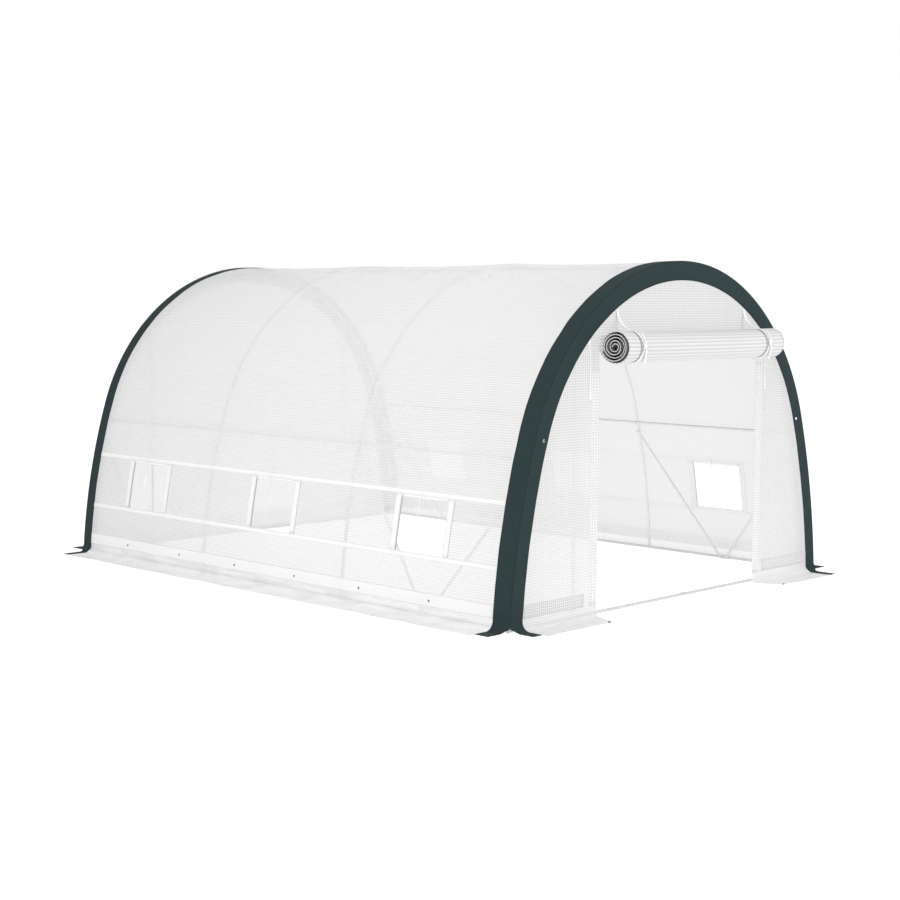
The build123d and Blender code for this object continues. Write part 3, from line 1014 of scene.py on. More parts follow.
def scattered_folds(
    seed: int, count: int, low: Floats, high: Floats, lean: float, depth: float
) -> tuple[Fold, ...]:
    """Scatter soft folds over a sheet.

    Args:
        seed: Start of the random draws.
        count: How many folds.
        low: Least place on the two lengths.
        high: Greatest place on the two lengths.
        lean: The folds' usual heading.
        depth: Their usual depth.

    Returns:
        The folds.
    """
    draw = np.random.default_rng(seed)
    return tuple(
        Fold(
            (draw.uniform(low[0], high[0]), draw.uniform(low[1], high[1])),
            lean + draw.normal(0, 0.35),
            draw.uniform(0.12, 0.42),
            draw.uniform(0.016, 0.05),
            depth * draw.uniform(0.4, 1.0) * draw.choice((-1, 1)),
        )
        for _ in range(count)
    )


@dataclass(frozen=True)
class CoverSkin:
    """The sheet over the hoops: taut on each hoop, slack between them and softly creased."""

    arch: ArchProfile
    stations: tuple[float, ...]
    crown_sag: float = 0.011
    wall_sag: float = 0.004
    rise: float = 0.012
    folds: tuple[Fold, ...] = ()

    def slack(self, arc: Array, y: Array) -> Array:
        """Find how slack the sheet is.

        Args:
            arc: Arc lengths from the ridge.
            y: Places along the tunnel.

        Returns:
            How far the sheet lies inside its taut shape.
        """
        arc, y = np.broadcast_arrays(np.asarray(arc, float), np.asarray(y, float))
        stops = np.array(self.stations)
        bay = np.clip(np.searchsorted(stops, y) - 1, 0, len(stops) - 2)
        share = np.clip((y - stops[bay]) / (stops[bay + 1] - stops[bay]), 0, 1)
        dip = 4 * share * (1 - share)
        crown = smooth(1.7, 0.3, np.abs(arc))
        loose = smooth(2.75, 2.3, np.abs(arc))
        sag = (self.wall_sag + (self.crown_sag - self.wall_sag) * crown) * dip * loose
        creases = sum((fold.dip(arc, y) for fold in self.folds), np.zeros_like(sag))
        peak = self.rise * smooth(1.3, 0.2, np.abs(arc)) * (0.45 + 0.55 * smooth(stops[-1], stops[0], y))
        return sag - peak + creases * np.sqrt(dip) * loose

    def place(self, arc: Array, y: Array, proud: float = 0.0) -> Array:
        """Points on the sheet, standing proud of it by a distance."""
        x, z = self.arch.place(arc, self.slack(arc, y) - proud)
        return stacked(x, y, z)


@dataclass(frozen=True)
class GableFace:
    """The flat sheet that closes an end, with a soft bulge away from its edges."""

    arch: ArchProfile
    end: End
    face: float
    folds: tuple[Fold, ...] = ()

    def place(self, x: Array, z: Array, proud: float = 0.0) -> Array:
        """Find points on the gable.

        Args:
            x: Places from the middle.
            z: Heights.
            proud: How far the points stand out from the sheet.

        Returns:
            The points.
        """
        x, z = np.broadcast_arrays(np.asarray(x, float), np.asarray(z, float))
        margin = np.minimum(self.arch.half_width_at(z) - np.abs(x), self.arch.height_at(x) - z)
        soft = smooth(0.09, 0.25, margin) * smooth(0.05, 0.3, z)
        bulge = sum((fold.dip(x, z) for fold in self.folds), np.zeros_like(x)) * soft
        return np.stack([x, self.end.value * (self.face + proud + bulge), z], axis=-1)


@dataclass
class Assembly:
    """What every sub-assembly needs: the finishes, and a way on to the frame."""

    finishes: Finishes

    def fit(
        self, sketch: MeshSketch, name: str, slot: Slot, materials: Sequence[Material],
        nodes: Sequence[str] = (), thickness: float = 0.0
    ) -> Thing:
        """Make a piece, dress it and put it on the frame.

        Args:
            sketch: The piece's mesh.
            name: The piece's name.
            slot: The record's slot of its finish; not used.
            materials: Its materials, in the order that the sketch numbers them.
            nodes: The nodes that it stands for.
            thickness: The cloth's thickness, if it is thickened.

        Returns:
            The piece.
        """
        piece = sketch.piece(name)
        for material in materials:
            piece.data.materials.append(material)
        if thickness:
            cloth = piece.modifiers.new("cloth", "SOLIDIFY")
            cloth.thickness = thickness
            cloth.offset = 0.0
        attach(piece, BODY)
        if nodes:
            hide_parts(*nodes)
        LOG.info("%s: %d faces for %s", name, len(piece.data.polygons), ", ".join(nodes) or "no node")
        return piece


def on_lengths(rows: Array, columns: Array) -> Array:
    """The weave's lengths on a grid of rows and columns."""
    return np.stack(np.meshgrid(rows, columns, indexing="ij"), axis=-1)


@dataclass
class RoofCover(Assembly):
    """The sheet from the upper seam of one wall over the ridge to the other."""

    skin: CoverSkin
    step: float = 0.026

    def build(self) -> None:
        """Make the roof."""
        low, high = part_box("roof_cover")
        edge = self.skin.arch.arc_at(low.z)
        arcs, ys = divided(-edge, edge, self.step), divided(low.y, high.y, self.step)
        sketch = MeshSketch()
        sketch.grid(self.skin.place(arcs[:, None], ys[None], -SHEET_INSET), on_lengths(arcs, ys))
        roof = self.fit(sketch, "roof_sheet", Slot.COVER, [self.finishes.sheet], ["roof_cover"])
        2 * edge


@dataclass
class SideWall(Assembly):
    """One long wall: window sheet, lower sheet, skirt, tapes, strips, foot band and nets."""

    skin: CoverSkin
    side: Side
    bays: tuple[float, ...]
    step: float = 0.03
    window: float = 0.375
    strip: float = 0.046
    bar: float = 0.016
    # Width of the thin strip of painted shade along each window's back edge.
    fold: float = 0.005
    tape_proud: float = 0.0012
    tape_thickness: float = 0.0012
    strip_thickness: float = 0.0036
    net_inset: float = 0.0027
    skirt_bend: float = 0.03
    ripple: float = 0.004

    @property
    def word(self) -> str:
        """The side's name in the nodes."""
        return self.side.name.lower()

    def node(self, rest: str) -> str:
        """A node's name on this side."""
        return f"{self.word}_{rest}"

    def arcs(self, low: float, high: float, step: float, marks: Floats = ()) -> Array:
        """Arc lengths of this wall from one height to another, from the top down."""
        spots = [self.skin.arch.arc_at(z) for z in marks]
        return divided(self.skin.arch.arc_at(high), self.skin.arch.arc_at(low), step, spots)

    def patch(
        self, sketch: MeshSketch, arcs: Array, ys: Array, proud: float, keep: Array | None = None
    ) -> None:
        """Add a patch of the wall, standing proud of the sheet by a distance."""
        points = self.skin.place(self.side.value * arcs[:, None], ys[None], proud)
        sketch.grid(points, on_lengths(arcs - arcs[0], ys), keep)

    def build(self) -> None:
        """Make the wall's sheets and what is sewn to them."""
        tapes = [self.tapes(), self.strips(), self.band()]
        self.window_sheet(tapes)
        self.lower_sheet()
        self.skirt()
        self.nets()

    def window_sheet(self, tapes: Sequence[Thing]) -> None:
        """Make the sheet with the windows cut in it.

        Args:
            tapes: The pieces sewn to it; not used.
        """
        low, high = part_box(self.node("window_wall"))
        strips_low, strips_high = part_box(self.node("window_strips"))
        half = self.window / 2
        edges = [bay + shift for bay in self.bays for shift in (-half, half)]
        arcs = self.arcs(low.z, high.z, self.step, (strips_low.z, strips_high.z))
        ys = divided(low.y, high.y, self.step, edges)
        middle_arc, middle_y = (arcs[1:] + arcs[:-1]) / 2, (ys[1:] + ys[:-1]) / 2
        top, bottom = (self.skin.arch.arc_at(z) for z in (strips_high.z, strips_low.z))
        beside = np.abs(middle_y[:, None] - np.array(self.bays)).min(axis=1) > half
        keep = beside[None, :] | ((middle_arc < top) | (middle_arc > bottom))[:, None]
        sketch = MeshSketch()
        self.patch(sketch, arcs, ys, -SHEET_INSET, keep)
        name = self.node("window_sheet")
        sheet = self.fit(sketch, name, Slot.COVER, [self.finishes.wall], [self.node("window_wall")])
        flat = (float(arcs[-1] - arcs[0]), high.y - low.y)
        area = flat[0] * flat[1] - len(self.bays) * self.window * (bottom - top)

    def lower_sheet(self) -> None:
        """Make the sheet below the windows."""
        low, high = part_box(self.node("lower_wall"))
        arcs, ys = self.arcs(low.z, high.z, self.step), divided(low.y, high.y, self.step)
        sketch = MeshSketch()
        self.patch(sketch, arcs, ys, -SHEET_INSET)
        name = self.node("lower_sheet")
        sheet = self.fit(sketch, name, Slot.COVER, [self.finishes.wall], [self.node("lower_wall")])
        self.node("window_sheet")

    def skirt(self) -> None:
        """Make the skirt that turns out over the ground."""
        low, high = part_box(self.node("skirt"))
        arch = self.skin.arch
        reach = max(abs(low.x), abs(high.x))
        foot = float(arch.half_width_at(high.z)) - SHEET_INSET
        corners = [(foot, high.z), (arch.half_width, SKIRT_LEVEL), (reach, SKIRT_LEVEL)]
        line = rounded(corners, self.skirt_bend, 0.02)
        lengths, ys = run_lengths(line), divided(low.y, high.y, self.step)
        out = smooth(arch.half_width + self.skirt_bend, reach, line[:, 0])[:, None]
        wave = np.sin(ys * 7.3 + self.side.value) * np.sin(ys * 3.1 + 0.7) + 0.4 * np.sin(ys * 17.0)
        lift = self.ripple * out * np.maximum(wave, 0)[None]
        points = stacked(self.side.value * line[:, :1], ys[None], line[:, 1:] + lift)
        sketch = MeshSketch()
        sketch.grid(points, on_lengths(lengths, ys))
        name = self.node("ground_skirt")
        sheet = self.fit(sketch, name, Slot.COVER, [self.finishes.ground], [self.node("skirt")])
        sheet.data.flip_normals()
        self.node("lower_sheet")

    def tapes(self) -> Thing:
        """Make the two tapes over the seams."""
        low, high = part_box(self.node("seam_tapes"))
        strips_low, strips_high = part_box(self.node("window_strips"))
        ys = divided(low.y, high.y, self.step)
        sketch = MeshSketch()
        for bottom, top in ((low.z, strips_low.z), (strips_high.z, high.z)):
            self.patch(sketch, self.arcs(bottom, top, 0.008), ys, self.tape_proud)
        return self.sewn(sketch, "sewn_tapes", self.node("seam_tapes"))

    def strips(self) -> Thing:
        """Make the strips beside each window, the bar over it and its shaded back edge."""
        low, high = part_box(self.node("window_strips"))
        arcs = self.arcs(low.z, high.z, self.step)
        sketch = MeshSketch()
        bar = divided(arcs[0], arcs[0] + self.bar, 0.006)
        for bay in self.bays:
            for hand in (-1, 1):
                inner = bay + hand * self.window / 2
                ys = np.sort(np.linspace(inner, inner + hand * self.strip, 6))
                points = self.skin.place(self.side.value * arcs[:, None], ys[None], self.tape_proud)
                lengths = on_lengths(arcs - arcs[0], ys - ys[0])[..., ::-1]
                sketch.grid(points, lengths)
            ys = divided(bay - self.window / 2, bay + self.window / 2, self.step)
            self.patch(sketch, bar, ys, self.tape_proud)
            fold = np.linspace(bay + self.window / 2 - self.fold, bay + self.window / 2, 2)
            points = self.skin.place(self.side.value * arcs[:, None], fold[None], -SHEET_INSET)
            sketch.grid(points, on_lengths(arcs - arcs[0], fold - fold[0]), finish=1)
        materials, nodes = [self.finishes.tape, self.finishes.edge], [self.node("window_strips")]
        name = self.node("window_tapes")
        strips = self.fit(sketch, name, Slot.TAPE, materials, nodes, self.strip_thickness)
        # The strips' rims take the dark grey of painted shade.
        strips.modifiers["cloth"].material_offset_rim = 1
        return strips

    def band(self) -> Thing:
        """Make the band along the foot of the wall."""
        low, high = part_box("side_bottom_bands")
        sketch = MeshSketch()
        arcs, ys = self.arcs(low.z, high.z, 0.012), divided(low.y, high.y, self.step)
        self.patch(sketch, arcs, ys, self.tape_proud)
        return self.sewn(sketch, "foot_band", "side_bottom_bands")

    def sewn(self, sketch: MeshSketch, name: str, node: str) -> Thing:
        """Fit a tape of this side in place of a node."""
        tape = [self.finishes.tape]
        return self.fit(sketch, self.node(name), Slot.TAPE, tape, [node], self.tape_thickness)

    def nets(self) -> None:
        """Make the nets behind the windows."""
        low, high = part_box(self.node("window_nets"))
        arcs = self.arcs(low.z, high.z, self.step)
        reach = self.window / 2 + self.strip
        sketch = MeshSketch()
        for bay in self.bays:
            self.patch(sketch, arcs, divided(bay - reach, bay + reach, self.step), -self.net_inset)
        name = self.node("net_windows")
        net = self.fit(sketch, name, Slot.NET, [self.finishes.net], [self.node("window_nets")])
        flat = (float(arcs[-1] - arcs[0]), 2 * reach * len(self.bays))
        self.node("window_sheet")


@dataclass
class GableEnd(Assembly):
    """One end: its sheet, skirts, foot bands and, at the front, the hems of the doorway."""

    surface: GableFace
    inset: float = 0.002
    step: float = 0.03
    tape_proud: float = 0.0012
    tape_thickness: float = 0.0012
    skirt_bend: float = 0.03
    upturn: float = 0.03
    ripple: float = 0.003
    edge_gap: float = 0.004
    door_half: float = 0.77
    split: float = 0.77

    @property
    def word(self) -> str:
        """The end's name in the nodes."""
        return self.surface.end.name.lower()

    def panel(self, head: float, foot: float) -> tuple[MeshSketch, float]:
        """Draw the end's sheet.

        Args:
            head: Lowest height of the middle part, which is the door's head where there is a door.
            foot: Lowest height of the parts beside it.

        Returns:
            The mesh, and the sheet's flat area.
        """
        arch = self.surface.arch
        top = float(arch.height_at(self.split, self.inset)) - self.edge_gap
        sketch = MeshSketch()
        levels, shares = divided(foot, top, self.step), np.linspace(0, 1, 28)
        for hand in (-1, 1):
            edge = arch.half_width_at(levels, self.inset)
            x = self.split + (edge - self.split)[:, None] * shares[None]
            z = np.broadcast_to(levels[:, None], x.shape)
            points = self.surface.place(hand * x, z, -SHEET_INSET)
            sketch.grid(points, np.stack([z, hand * x], axis=-1))
        xs = divided(-self.split, self.split, self.step)
        z = head + (arch.height_at(xs, self.inset) - head)[:, None] * np.linspace(0, 1, 40)[None]
        x = np.broadcast_to(xs[:, None], z.shape)
        sketch.grid(self.surface.place(x, z, -SHEET_INSET), np.stack([z, x], axis=-1))
        area = arch.area(foot, arch.height - self.inset, self.inset) - 2 * self.split * (head - foot)
        return sketch, area

    def hang(self, nodes: Sequence[str], head: float, foot: float, tapes: Sequence[Thing]) -> None:
        """Make the end's sheet.

        Args:
            nodes: The nodes whose place it takes.
            head: Lowest height of the middle part.
            foot: Lowest height of the parts beside it.
            tapes: The pieces sewn to it; not used.
        """
        sketch, area = self.panel(head, foot)
        sheet = self.fit(sketch, f"{self.word}_gable_sheet", Slot.COVER, [self.finishes.gable], nodes)
        arch = self.surface.arch
        flat = (2 * float(arch.half_width_at(foot)), arch.height - foot)

    def skirt_patch(self, sketch: MeshSketch, inner: float, cut: float, outer: float) -> float:
        """Add a skirt that turns out over the ground.

        Args:
            sketch: The mesh.
            inner: Where it starts along X.
            cut: Where it starts at its outer edge.
            outer: Where it ends along X.

        Returns:
            The length of its cut from the wall to its edge.
        """
        low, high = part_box(f"{self.word}_skirts" if self.surface.end is End.FRONT else "back_skirt")
        reach = max(abs(low.y), abs(high.y)) - self.surface.face
        corners = [(-SHEET_INSET, high.z), (-SHEET_INSET, SKIRT_LEVEL), (reach, SKIRT_LEVEL)]
        line = rounded(corners, self.skirt_bend, 0.02)
        lengths = run_lengths(line)
        out = smooth(0.0, reach, line[:, 0])[:, None]
        shares = np.linspace(0, 1, max(6, math.ceil(abs(outer - inner) / self.step)))[None]
        start = inner + (cut - inner) * np.clip(line[:, :1] / reach, 0, 1)
        x = start + (outer - start) * shares
        lift = self.ripple * out * np.maximum(np.sin(x * 9.0) + 0.5 * np.sin(x * 23.0), 0)
        points = stacked(x, self.surface.end.value * (self.surface.face + line[:, :1]), line[:, 1:] + lift)
        weave = stacked(lengths[:, None], x)
        turn = int(np.argmax(line[:, 1] < self.upturn))
        sketch.grid(points[: turn + 1], weave[: turn + 1], finish=1)
        sketch.grid(points[turn:], weave[turn:])
        return float(lengths[-1])

    def flat_strip(self, sketch: MeshSketch, xs: Array, zs: Array, upright: bool) -> None:
        """Add a strip of tape on the sheet, its own width first among its lengths.

        Args:
            sketch: The mesh.
            xs: Its places along X.
            zs: Its heights.
            upright: Whether it runs up the sheet.
        """
        x, z = np.meshgrid(xs, zs, indexing="ij")
        lengths = np.stack([np.abs(x - x[0, 0]), z] if upright else [z - z[0, 0], x], axis=-1)
        sketch.grid(self.surface.place(x, z, self.tape_proud), lengths)

    def foot_band(self, sketch: MeshSketch, name: str) -> Thing:
        """Fit the band along the foot of the end."""
        nodes = ["gable_bottom_bands"]
        return self.fit(sketch, name, Slot.TAPE, [self.finishes.foot], nodes, self.tape_thickness)


@dataclass
class FrontEnd(GableEnd):
    """The end with the doorway."""

    band_start: float = 0.885
    skirt_corner: float = 0.85

    def build(self) -> None:
        """Make the sheet beside and above the doorway, its hems, bands and skirts."""
        panels = ["front_left_panel", "front_right_panel", "front_top_panel"]
        head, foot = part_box("front_top_panel")[0].z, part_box("front_left_panel")[0].z
        self.hang(panels, head, foot, [self.hems(), self.bands()])
        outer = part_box("front_skirts")[1].x
        sketch = MeshSketch()
        for hand in (-1, 1):
            starts = hand * self.door_half, hand * self.skirt_corner
            cut = self.skirt_patch(sketch, *starts, hand * outer)
        materials = [self.finishes.apron, self.finishes.gable]
        skirts = self.fit(sketch, "front_ground_skirts", Slot.COVER, materials, ["front_skirts"])

    def hems(self) -> Thing:
        """Make the folded hems along the doorway's two edges."""
        low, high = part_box("front_door_hems")
        sketch = MeshSketch()
        zs = divided(low.z, high.z, self.step)
        for hand in (-1, 1):
            self.flat_strip(sketch, hand * np.linspace(self.door_half, high.x, 8), zs, True)
        nodes = ["front_door_hems"]
        return self.fit(sketch, "door_hems", Slot.TAPE, [self.finishes.hem], nodes, self.tape_thickness)

    def bands(self) -> Thing:
        """Make the bands along the foot of the panels."""
        low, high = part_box("gable_bottom_bands")
        sketch = MeshSketch()
        for hand in (-1, 1):
            xs = hand * divided(self.band_start, high.x - self.edge_gap, self.step)
            self.flat_strip(sketch, xs, np.linspace(low.z, high.z, 6), False)
        return self.foot_band(sketch, "front_foot_bands")


@dataclass
class BackEnd(GableEnd):
    """The closed end."""

    def build(self) -> None:
        """Make the closed sheet, its band and its skirt."""
        low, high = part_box("gable_bottom_bands")
        sketch = MeshSketch()
        xs = divided(low.x + self.edge_gap, high.x - self.edge_gap, self.step)
        self.flat_strip(sketch, xs, np.linspace(low.z, high.z, 6), False)
        band = self.foot_band(sketch, "back_foot_band")
        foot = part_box("back_panel")[0].z
        self.hang(["back_panel"], foot, foot, [band])
        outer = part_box("back_skirt")[1].x
        sketch = MeshSketch()
        cut = self.skirt_patch(sketch, -outer, -outer, outer)
        materials = [self.finishes.ground, self.finishes.gable]
        skirt = self.fit(sketch, "back_ground_skirt", Slot.COVER, materials, ["back_skirt"])


@dataclass
class EdgeTrim(Assembly):
    """Dark cloth folded over an end's edge, with tongues that turn out over the ground."""

    skin: CoverSkin
    end: End
    face: float
    face_width: float = 0.1
    proud: float = 0.0012
    fold_radius: float = 0.006
    bend: float = 0.055
    foot_share: float = 1.25
    notch: float = 0.024
    split: float = 0.58
    longer: float = 0.037
    thickness: float = 0.0014
    step: float = 0.03

    def build(self) -> None:
        """Make the trim and its feet."""
        node = f"{self.end.name.lower()}_edge_trim"
        low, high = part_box(node)
        arch = self.skin.arch
        inner_y = min(abs(low.y), abs(high.y))
        depth = self.face + self.proud - inner_y
        corners = [(self.face_width, 0.0), (-self.proud, 0.0), (-self.proud, depth)]
        section = rounded(corners, self.fold_radius, 0.011)
        across = run_lengths(section)
        foot_top = self.foot_share * (self.bend + self.thickness)
        edge = arch.arc_at(foot_top)
        arcs = divided(-edge, edge, self.step)
        points = self.around(arcs, section)
        sketch = MeshSketch()
        sketch.grid(points, on_lengths(arcs, across)[..., ::-1])
        fold = int(np.argmin(np.abs(section[:, 0] + self.proud) + np.abs(section[:, 1])))
        for hand, row in ((-1, points[0]), (1, points[-1])):
            self.tongue(sketch, row[fold::-1], across[fold::-1], foot_top, hand * edge, (0, self.end.value))
            self.tongue(sketch, row[fold:], across[fold:], foot_top, hand * edge, (hand, 0))
        trim = self.fit(sketch, f"{node}_cloth", Slot.TRIM, [self.finishes.trim], [node], self.thickness)
        reach = abs(high.x) - arch.half_width + foot_top
        2 * (edge + reach)

    def around(self, arcs: Array, section: Array) -> Array:
        """Lay the trim round the arch, with faint puckers.

        Args:
            arcs: Arc lengths from the ridge.
            section: The trim's section, as inset and depth from the end.

        Returns:
            The points, rows along the arch.
        """
        inset, depth = section[None, :, 0], section[None, :, 1]
        y = self.end.value * (self.face + self.proud - depth)
        reach = np.where(depth > 1e-4, 1.0, smooth(self.face_width, 0.0, inset))
        slack = self.skin.slack(arcs[:, None], y) * reach
        away = np.abs(inset + self.proud) + depth
        pucker = 0.0012 * smooth(0.02, 0.08, away) * (
            np.sin(arcs[:, None] * 21.0 + depth * 30) * np.sin(arcs[:, None] * 6.7 + 1.3)
        )
        lift = np.where(depth > 1e-4, pucker, 0.0)
        x, z = self.skin.arch.place(arcs[:, None], inset + slack - np.maximum(lift, -0.0008))
        out = np.where(depth > 1e-4, 0.0, np.maximum(pucker, -0.0004))
        return stacked(x, y + self.end.value * out, z)

    def tongue(
        self, sketch: MeshSketch, row: Array, across: Array, top: float, edge: float, outward: Floats
    ) -> None:
        """Add a foot that turns out over the ground from one row of the trim.

        Args:
            sketch: The mesh.
            row: The trim's last row of points, from the fold outward.
            across: The trim's lengths along that row.
            top: The height of the row.
            edge: Arc length of the row.
            outward: The way it turns, in X and Y.
        """
        far = abs(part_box("front_edge_trim")[0].x) if outward[0] else abs(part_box("front_edge_trim")[0].y)
        if edge > 0 or self.end is End.BACK:
            far += self.longer
        start = self.skin.arch.half_width if outward[0] else self.face + self.proud
        level = self.thickness
        line = rounded([(0, top), (0, level), (far - start, level)], self.bend, 0.012)
        lengths = run_lengths(line)
        points = np.repeat(row[None], len(line), axis=0)
        points[..., :2] += line[:, :1, None] * np.array(outward, float)
        fall = (line[:, 1] - level) / (top - level)
        points[..., 2] = level + (row[None, :, 2] - level) * fall[:, None]
        joined = line[:, :1] * smooth(0.9 * top, self.split * top, lengths)[:, None]
        beside = smooth(0.05, 0.0, np.abs(across - across[0]))[None]
        points[..., 0] += np.sign(row[0, 0]) * (not outward[0]) * joined * beside
        points[..., 1] += self.end.value * (not outward[1]) * joined * beside
        narrow = self.notch * smooth(self.split * top, 1.2 * top, lengths) / abs(across[-1] - across[0])
        points = points[:, -1:] + (points - points[:, -1:]) * (1 - narrow)[:, None, None]
        along = edge + np.sign(edge) * lengths
        sketch.grid(points, on_lengths(along, across)[..., ::-1])


@dataclass
class RolledDoor(Assembly):
    """The door sheet, rolled up over the doorway and sewn to the gable along its top."""

    turns: float = 5.0
    core: float = 0.013
    thickness: float = 0.005
    waist: float = 0.955
    fuller: float = 0.0025
    tilt: float = 0.018
    ear: float = 0.014
    tie_at: float = 0.62
    seam_half: float = 0.77
    sewn: float = 0.06
    sewn_y: float = -2.0215
    back_y: float = -2.0225
    outer_share: float = 0.09
    dip: float = 0.004
    step: float = 0.03

    @cached_property
    def box(self) -> tuple[Vector, Vector]:
        """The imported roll's corners."""
        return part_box("door_roll")

    @cached_property
    def radius(self) -> float:
        """The roll's outer radius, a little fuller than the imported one."""
        return self.axis[1] - self.box[0].z + self.fuller

    @cached_property
    def axis(self) -> tuple[float, float]:
        """The roll's axis in Y and Z."""
        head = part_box("front_top_panel")[0].z
        return self.box[0].y + (head - self.box[0].z), head

    def plump(self, x: Array) -> Array:
        """Find how full the roll is along its length.

        Args:
            x: Places along the roll.

        Returns:
            The radius at each place, as a share of the full radius.
        """
        x = np.asarray(x, float)
        ends = np.maximum(smooth(-0.5, -0.74, x), 0.6 * smooth(0.5, 0.78, x))
        tied = np.exp(-(((np.abs(x) - self.tie_at) / 0.022) ** 2))
        return self.waist + (1.0 - self.waist) * ends - 0.018 * tied

    def spiral(self, x: Array, turn: Array) -> Array:
        """Points of the rolled sheet.

        Args:
            x: Places along the roll.
            turn: Angle wound from the sheet's outer end at the back of the roll.

        Returns:
            The points.
        """
        wound = turn / (2 * math.pi * self.turns)
        full = self.radius - self.thickness / 2
        share = np.maximum(wound - self.outer_share, 0) / (1 - self.outer_share)
        radius = full - (full - self.core) * share
        uneven = 1 + 0.014 * np.sin(2 * turn + 1.1 + 2.2 * x) * wound + 0.008 * np.sin(3 * turn - 1.7 * x)
        radius = radius * (1 + (self.plump(x) - 1) * (1 - 0.5 * wound)) * uneven
        y = self.axis[0] + radius * np.cos(turn)
        z = self.axis[1] - self.dip * (1 - (x / 0.8) ** 2) - radius * np.sin(turn)
        return stacked(x, np.minimum(y, self.back_y), z)

    def build(self) -> None:
        """Make the roll and the sheet's sewn top."""
        low, high = self.box
        xs = divided(low.x, high.x, self.step, (-self.tie_at, self.tie_at))
        turns = np.linspace(0, 2 * math.pi * self.turns, int(40 * self.turns) + 1)
        ragged = 0.006 * np.sin(turns * 0.5 + 0.4) + 0.003 * np.sin(turns * 1.3)
        middle, half = (low.x + high.x) / 2, (high.x - low.x) / 2
        wound = turns / turns[-1]
        ear = self.ear * np.exp(-(((turns - 0.2) / 0.22) ** 2))
        slant = (0.009 - self.tilt * np.cos(turns) * (1 - 0.85 * wound) - ear)[None]
        x = middle + (xs[:, None] - middle) * (1 - (0.004 + 0.6 * ragged[None]) / half)
        x = x + slant * smooth(middle, low.x, xs)[:, None]
        points = self.spiral(x, turns[None])
        length = run_lengths(points[len(xs) // 2])
        weave = stacked(length[None], x)
        outer = int(np.searchsorted(turns, 2.1 * math.pi)) + 1
        sketch = MeshSketch()
        sketch.grid(points[:, :outer], weave[:, :outer])
        sketch.grid(points[:, outer - 1 :], weave[:, outer - 1 :], finish=1)
        seam_x = divided(-self.seam_half, self.seam_half, self.step)
        drop = np.linspace(0, 1, 5)[None]
        seam_top = self.axis[1] + self.sewn
        z = seam_top + (self.axis[1] - seam_top) * drop
        tail = stacked(seam_x[:, None], self.sewn_y - 0.001 * drop, z)
        sketch.grid(tail, stacked(-drop * self.sewn, seam_x[:, None]))
        materials = [self.finishes.rolled, self.finishes.shade]
        roll = self.fit(sketch, "door_roll_sheet", Slot.COVER, materials, ["door_roll"], self.thickness)
        roll.modifiers["cloth"].material_offset_rim = -1
        LOG.info("door sheet is %.2f m long when unrolled", length[-1])


def strap_section(width: float, thickness: float) -> Array:
    """Draw the outline of a flat strap with rounded edges.

    Args:
        width: The strap's width.
        thickness: Its thickness.

    Returns:
        Points round the outline.
    """
    half, edge = width / 2, thickness / 2
    turn = np.linspace(-math.pi / 2, math.pi / 2, 5)
    right = np.stack([half - edge + edge * np.cos(turn), edge * np.sin(turn)], axis=-1)
    return np.concatenate([right, -right])


def strap(sketch: MeshSketch, path: Array, across: Floats | Array, size: tuple[float, float]) -> float:
    """Add a strap of a width and thickness along a path, and give back its length."""
    sketch.sweep(path, strap_section(*size), across)
    return float(run_lengths(path)[-1])


# The strands of a roll tie's knot: points along each, the way across it, and spots on the roll as
# the angle from the back over the top, the shift along the roll and the distance off it.
KNOT_STRANDS = (
    (30, (0.3, 0.2, 1.0), (
        (168, 0.000, 0.001), (174, 0.016, 0.007), (183, 0.026, 0.005), (189, 0.014, 0.002),
        (184, 0.001, 0.005), (175, 0.010, 0.010), (169, 0.024, 0.004),
    )),
    (22, (1.0, 0.0, 0.5), (
        (180, 0.014, 0.007), (192, 0.022, 0.007), (208, 0.030, 0.004), (226, 0.048, 0.006),
        (240, 0.066, 0.012),
    )),
    (18, (1.0, 0.0, -0.4), (
        (178, 0.012, 0.007), (166, 0.017, 0.008), (150, 0.018, 0.004), (128, 0.024, 0.005),
    )),
)


